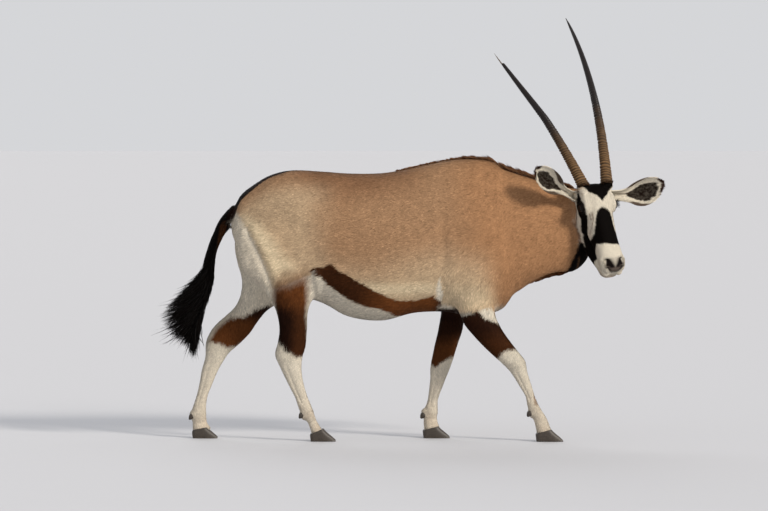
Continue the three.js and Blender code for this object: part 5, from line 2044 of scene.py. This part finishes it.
def build_stage():
    """Floor, soft daylight from all round with a warm lamp from the left, and the camera."""
    scene = bpy.context.scene
    scene.view_settings.view_transform = "Standard"
    bm = bmesh.new()
    bmesh.ops.create_circle(bm, cap_ends=True, radius=FLOOR_RADIUS, segments=128)
    mesh = bpy.data.meshes.new("floor")
    bm.to_mesh(mesh)
    bm.free()
    mesh.materials.append(floor_material())
    floor = bpy.data.objects.new("floor", mesh)
    scene.collection.objects.link(floor)

    world = bpy.data.worlds.new("studio")
    world.use_nodes = True
    background = world.node_tree.nodes["Background"]
    background.inputs["Color"].default_value = (*linear("#F2F3F6"), 1)
    background.inputs["Strength"].default_value = 0.75
    scene.world = world
    warm, cool = (1, 0.94, 0.85), (0.95, 0.97, 1)
    add_lamp("key", (-0.66, 0.62, -0.46), 2.9, 12, warm)
    add_lamp("back", (0.25, -0.85, -0.5), 0.9, 40, cool)

    camera = bpy.data.objects.new("camera", bpy.data.cameras.new("camera"))
    camera.location = CAMERA_AT
    aim = Vector(CAMERA_AIM) - camera.location
    camera.rotation_euler = aim.to_track_quat("-Z", "Y").to_euler()
    camera.data.lens = CAMERA_LENS
    camera.data.sensor_width = CAMERA_SENSOR
    scene.collection.objects.link(camera)
    scene.camera = camera


# Operators


class GEMSBOK_OT_stage(bpy.types.Operator):
    """Add the floor, lights and camera"""

    bl_idname = "gemsbok.stage"
    bl_label = "Stage"

    def execute(self, context):
        build_stage()
        return {"FINISHED"}


class GEMSBOK_OT_skin(bpy.types.Operator):
    """Fuse, smooth and carve the skin, with its ears"""

    bl_idname = "gemsbok.skin"
    bl_label = "Skin"

    def execute(self, context):
        build_skin()
        return {"FINISHED"}


class GEMSBOK_OT_eyes(bpy.types.Operator):
    """Add both eyeballs"""

    bl_idname = "gemsbok.eyes"
    bl_label = "Eyes"

    def execute(self, context):
        build_eyes()
        return {"FINISHED"}


class GEMSBOK_OT_horns(bpy.types.Operator):
    """Add both ringed horns"""

    bl_idname = "gemsbok.horns"
    bl_label = "Horns"

    def execute(self, context):
        material = horn_material()
        build_horn("right", -1, material)
        build_horn("left", 1, material)
        return {"FINISHED"}


class GEMSBOK_OT_hooves(bpy.types.Operator):
    """Add the hooves' claws and the dewclaws"""

    bl_idname = "gemsbok.hooves"
    bl_label = "Hooves"

    def execute(self, context):
        build_hooves()
        return {"FINISHED"}


class GEMSBOK_OT_short_coat(bpy.types.Operator):
    """Cover the skin with short tufts"""

    bl_idname = "gemsbok.short_coat"
    bl_label = "Short coat"

    def execute(self, context):
        build_short_coat()
        return {"FINISHED"}


class GEMSBOK_OT_long_hair(bpy.types.Operator):
    """Add the mane, the throat's fringe, the tail's brush, the lashes and the horns' collars"""

    bl_idname = "gemsbok.long_hair"
    bl_label = "Long hair"

    def execute(self, context):
        build_mane()
        build_throat_fringe()
        build_tail()
        build_lashes()
        build_horn_hair()
        return {"FINISHED"}


class GEMSBOK_PT_panel(bpy.types.Panel):
    """Sizes, colours and pieces of the gemsbok"""

    bl_idname = "GEMSBOK_PT_panel"
    bl_label = "Gemsbok"
    bl_space_type = "VIEW_3D"
    bl_region_type = "UI"
    bl_category = "Gemsbok"

    def draw(self, context):
        for group in (context.scene.gemsbok_sizes, context.scene.gemsbok_colours):
            column = self.layout.column(align=True)
            for name in group.__annotations__:
                column.prop(group, name)
        column = self.layout.column(align=True)
        for operator in OPERATORS:
            column.operator(operator.bl_idname)


OPERATORS = (
    GEMSBOK_OT_stage,
    GEMSBOK_OT_skin,
    GEMSBOK_OT_eyes,
    GEMSBOK_OT_horns,
    GEMSBOK_OT_hooves,
    GEMSBOK_OT_short_coat,
    GEMSBOK_OT_long_hair,
)
CLASSES = (GemsbokSizes, GemsbokColours, *OPERATORS, GEMSBOK_PT_panel)


def register():
    for cls in CLASSES:
        bpy.utils.register_class(cls)
    bpy.types.Scene.gemsbok_sizes = bpy.props.PointerProperty(type=GemsbokSizes)
    bpy.types.Scene.gemsbok_colours = bpy.props.PointerProperty(type=GemsbokColours)


def unregister():
    del bpy.types.Scene.gemsbok_sizes
    del bpy.types.Scene.gemsbok_colours
    for cls in reversed(CLASSES):
        bpy.utils.unregister_class(cls)


def main():
    register()
    bpy.ops.gemsbok.stage()
    bpy.ops.gemsbok.skin()
    bpy.ops.gemsbok.eyes()
    bpy.ops.gemsbok.horns()
    bpy.ops.gemsbok.hooves()
    bpy.ops.gemsbok.short_coat()
    bpy.ops.gemsbok.long_hair()


if __name__ == "__main__":
    main()
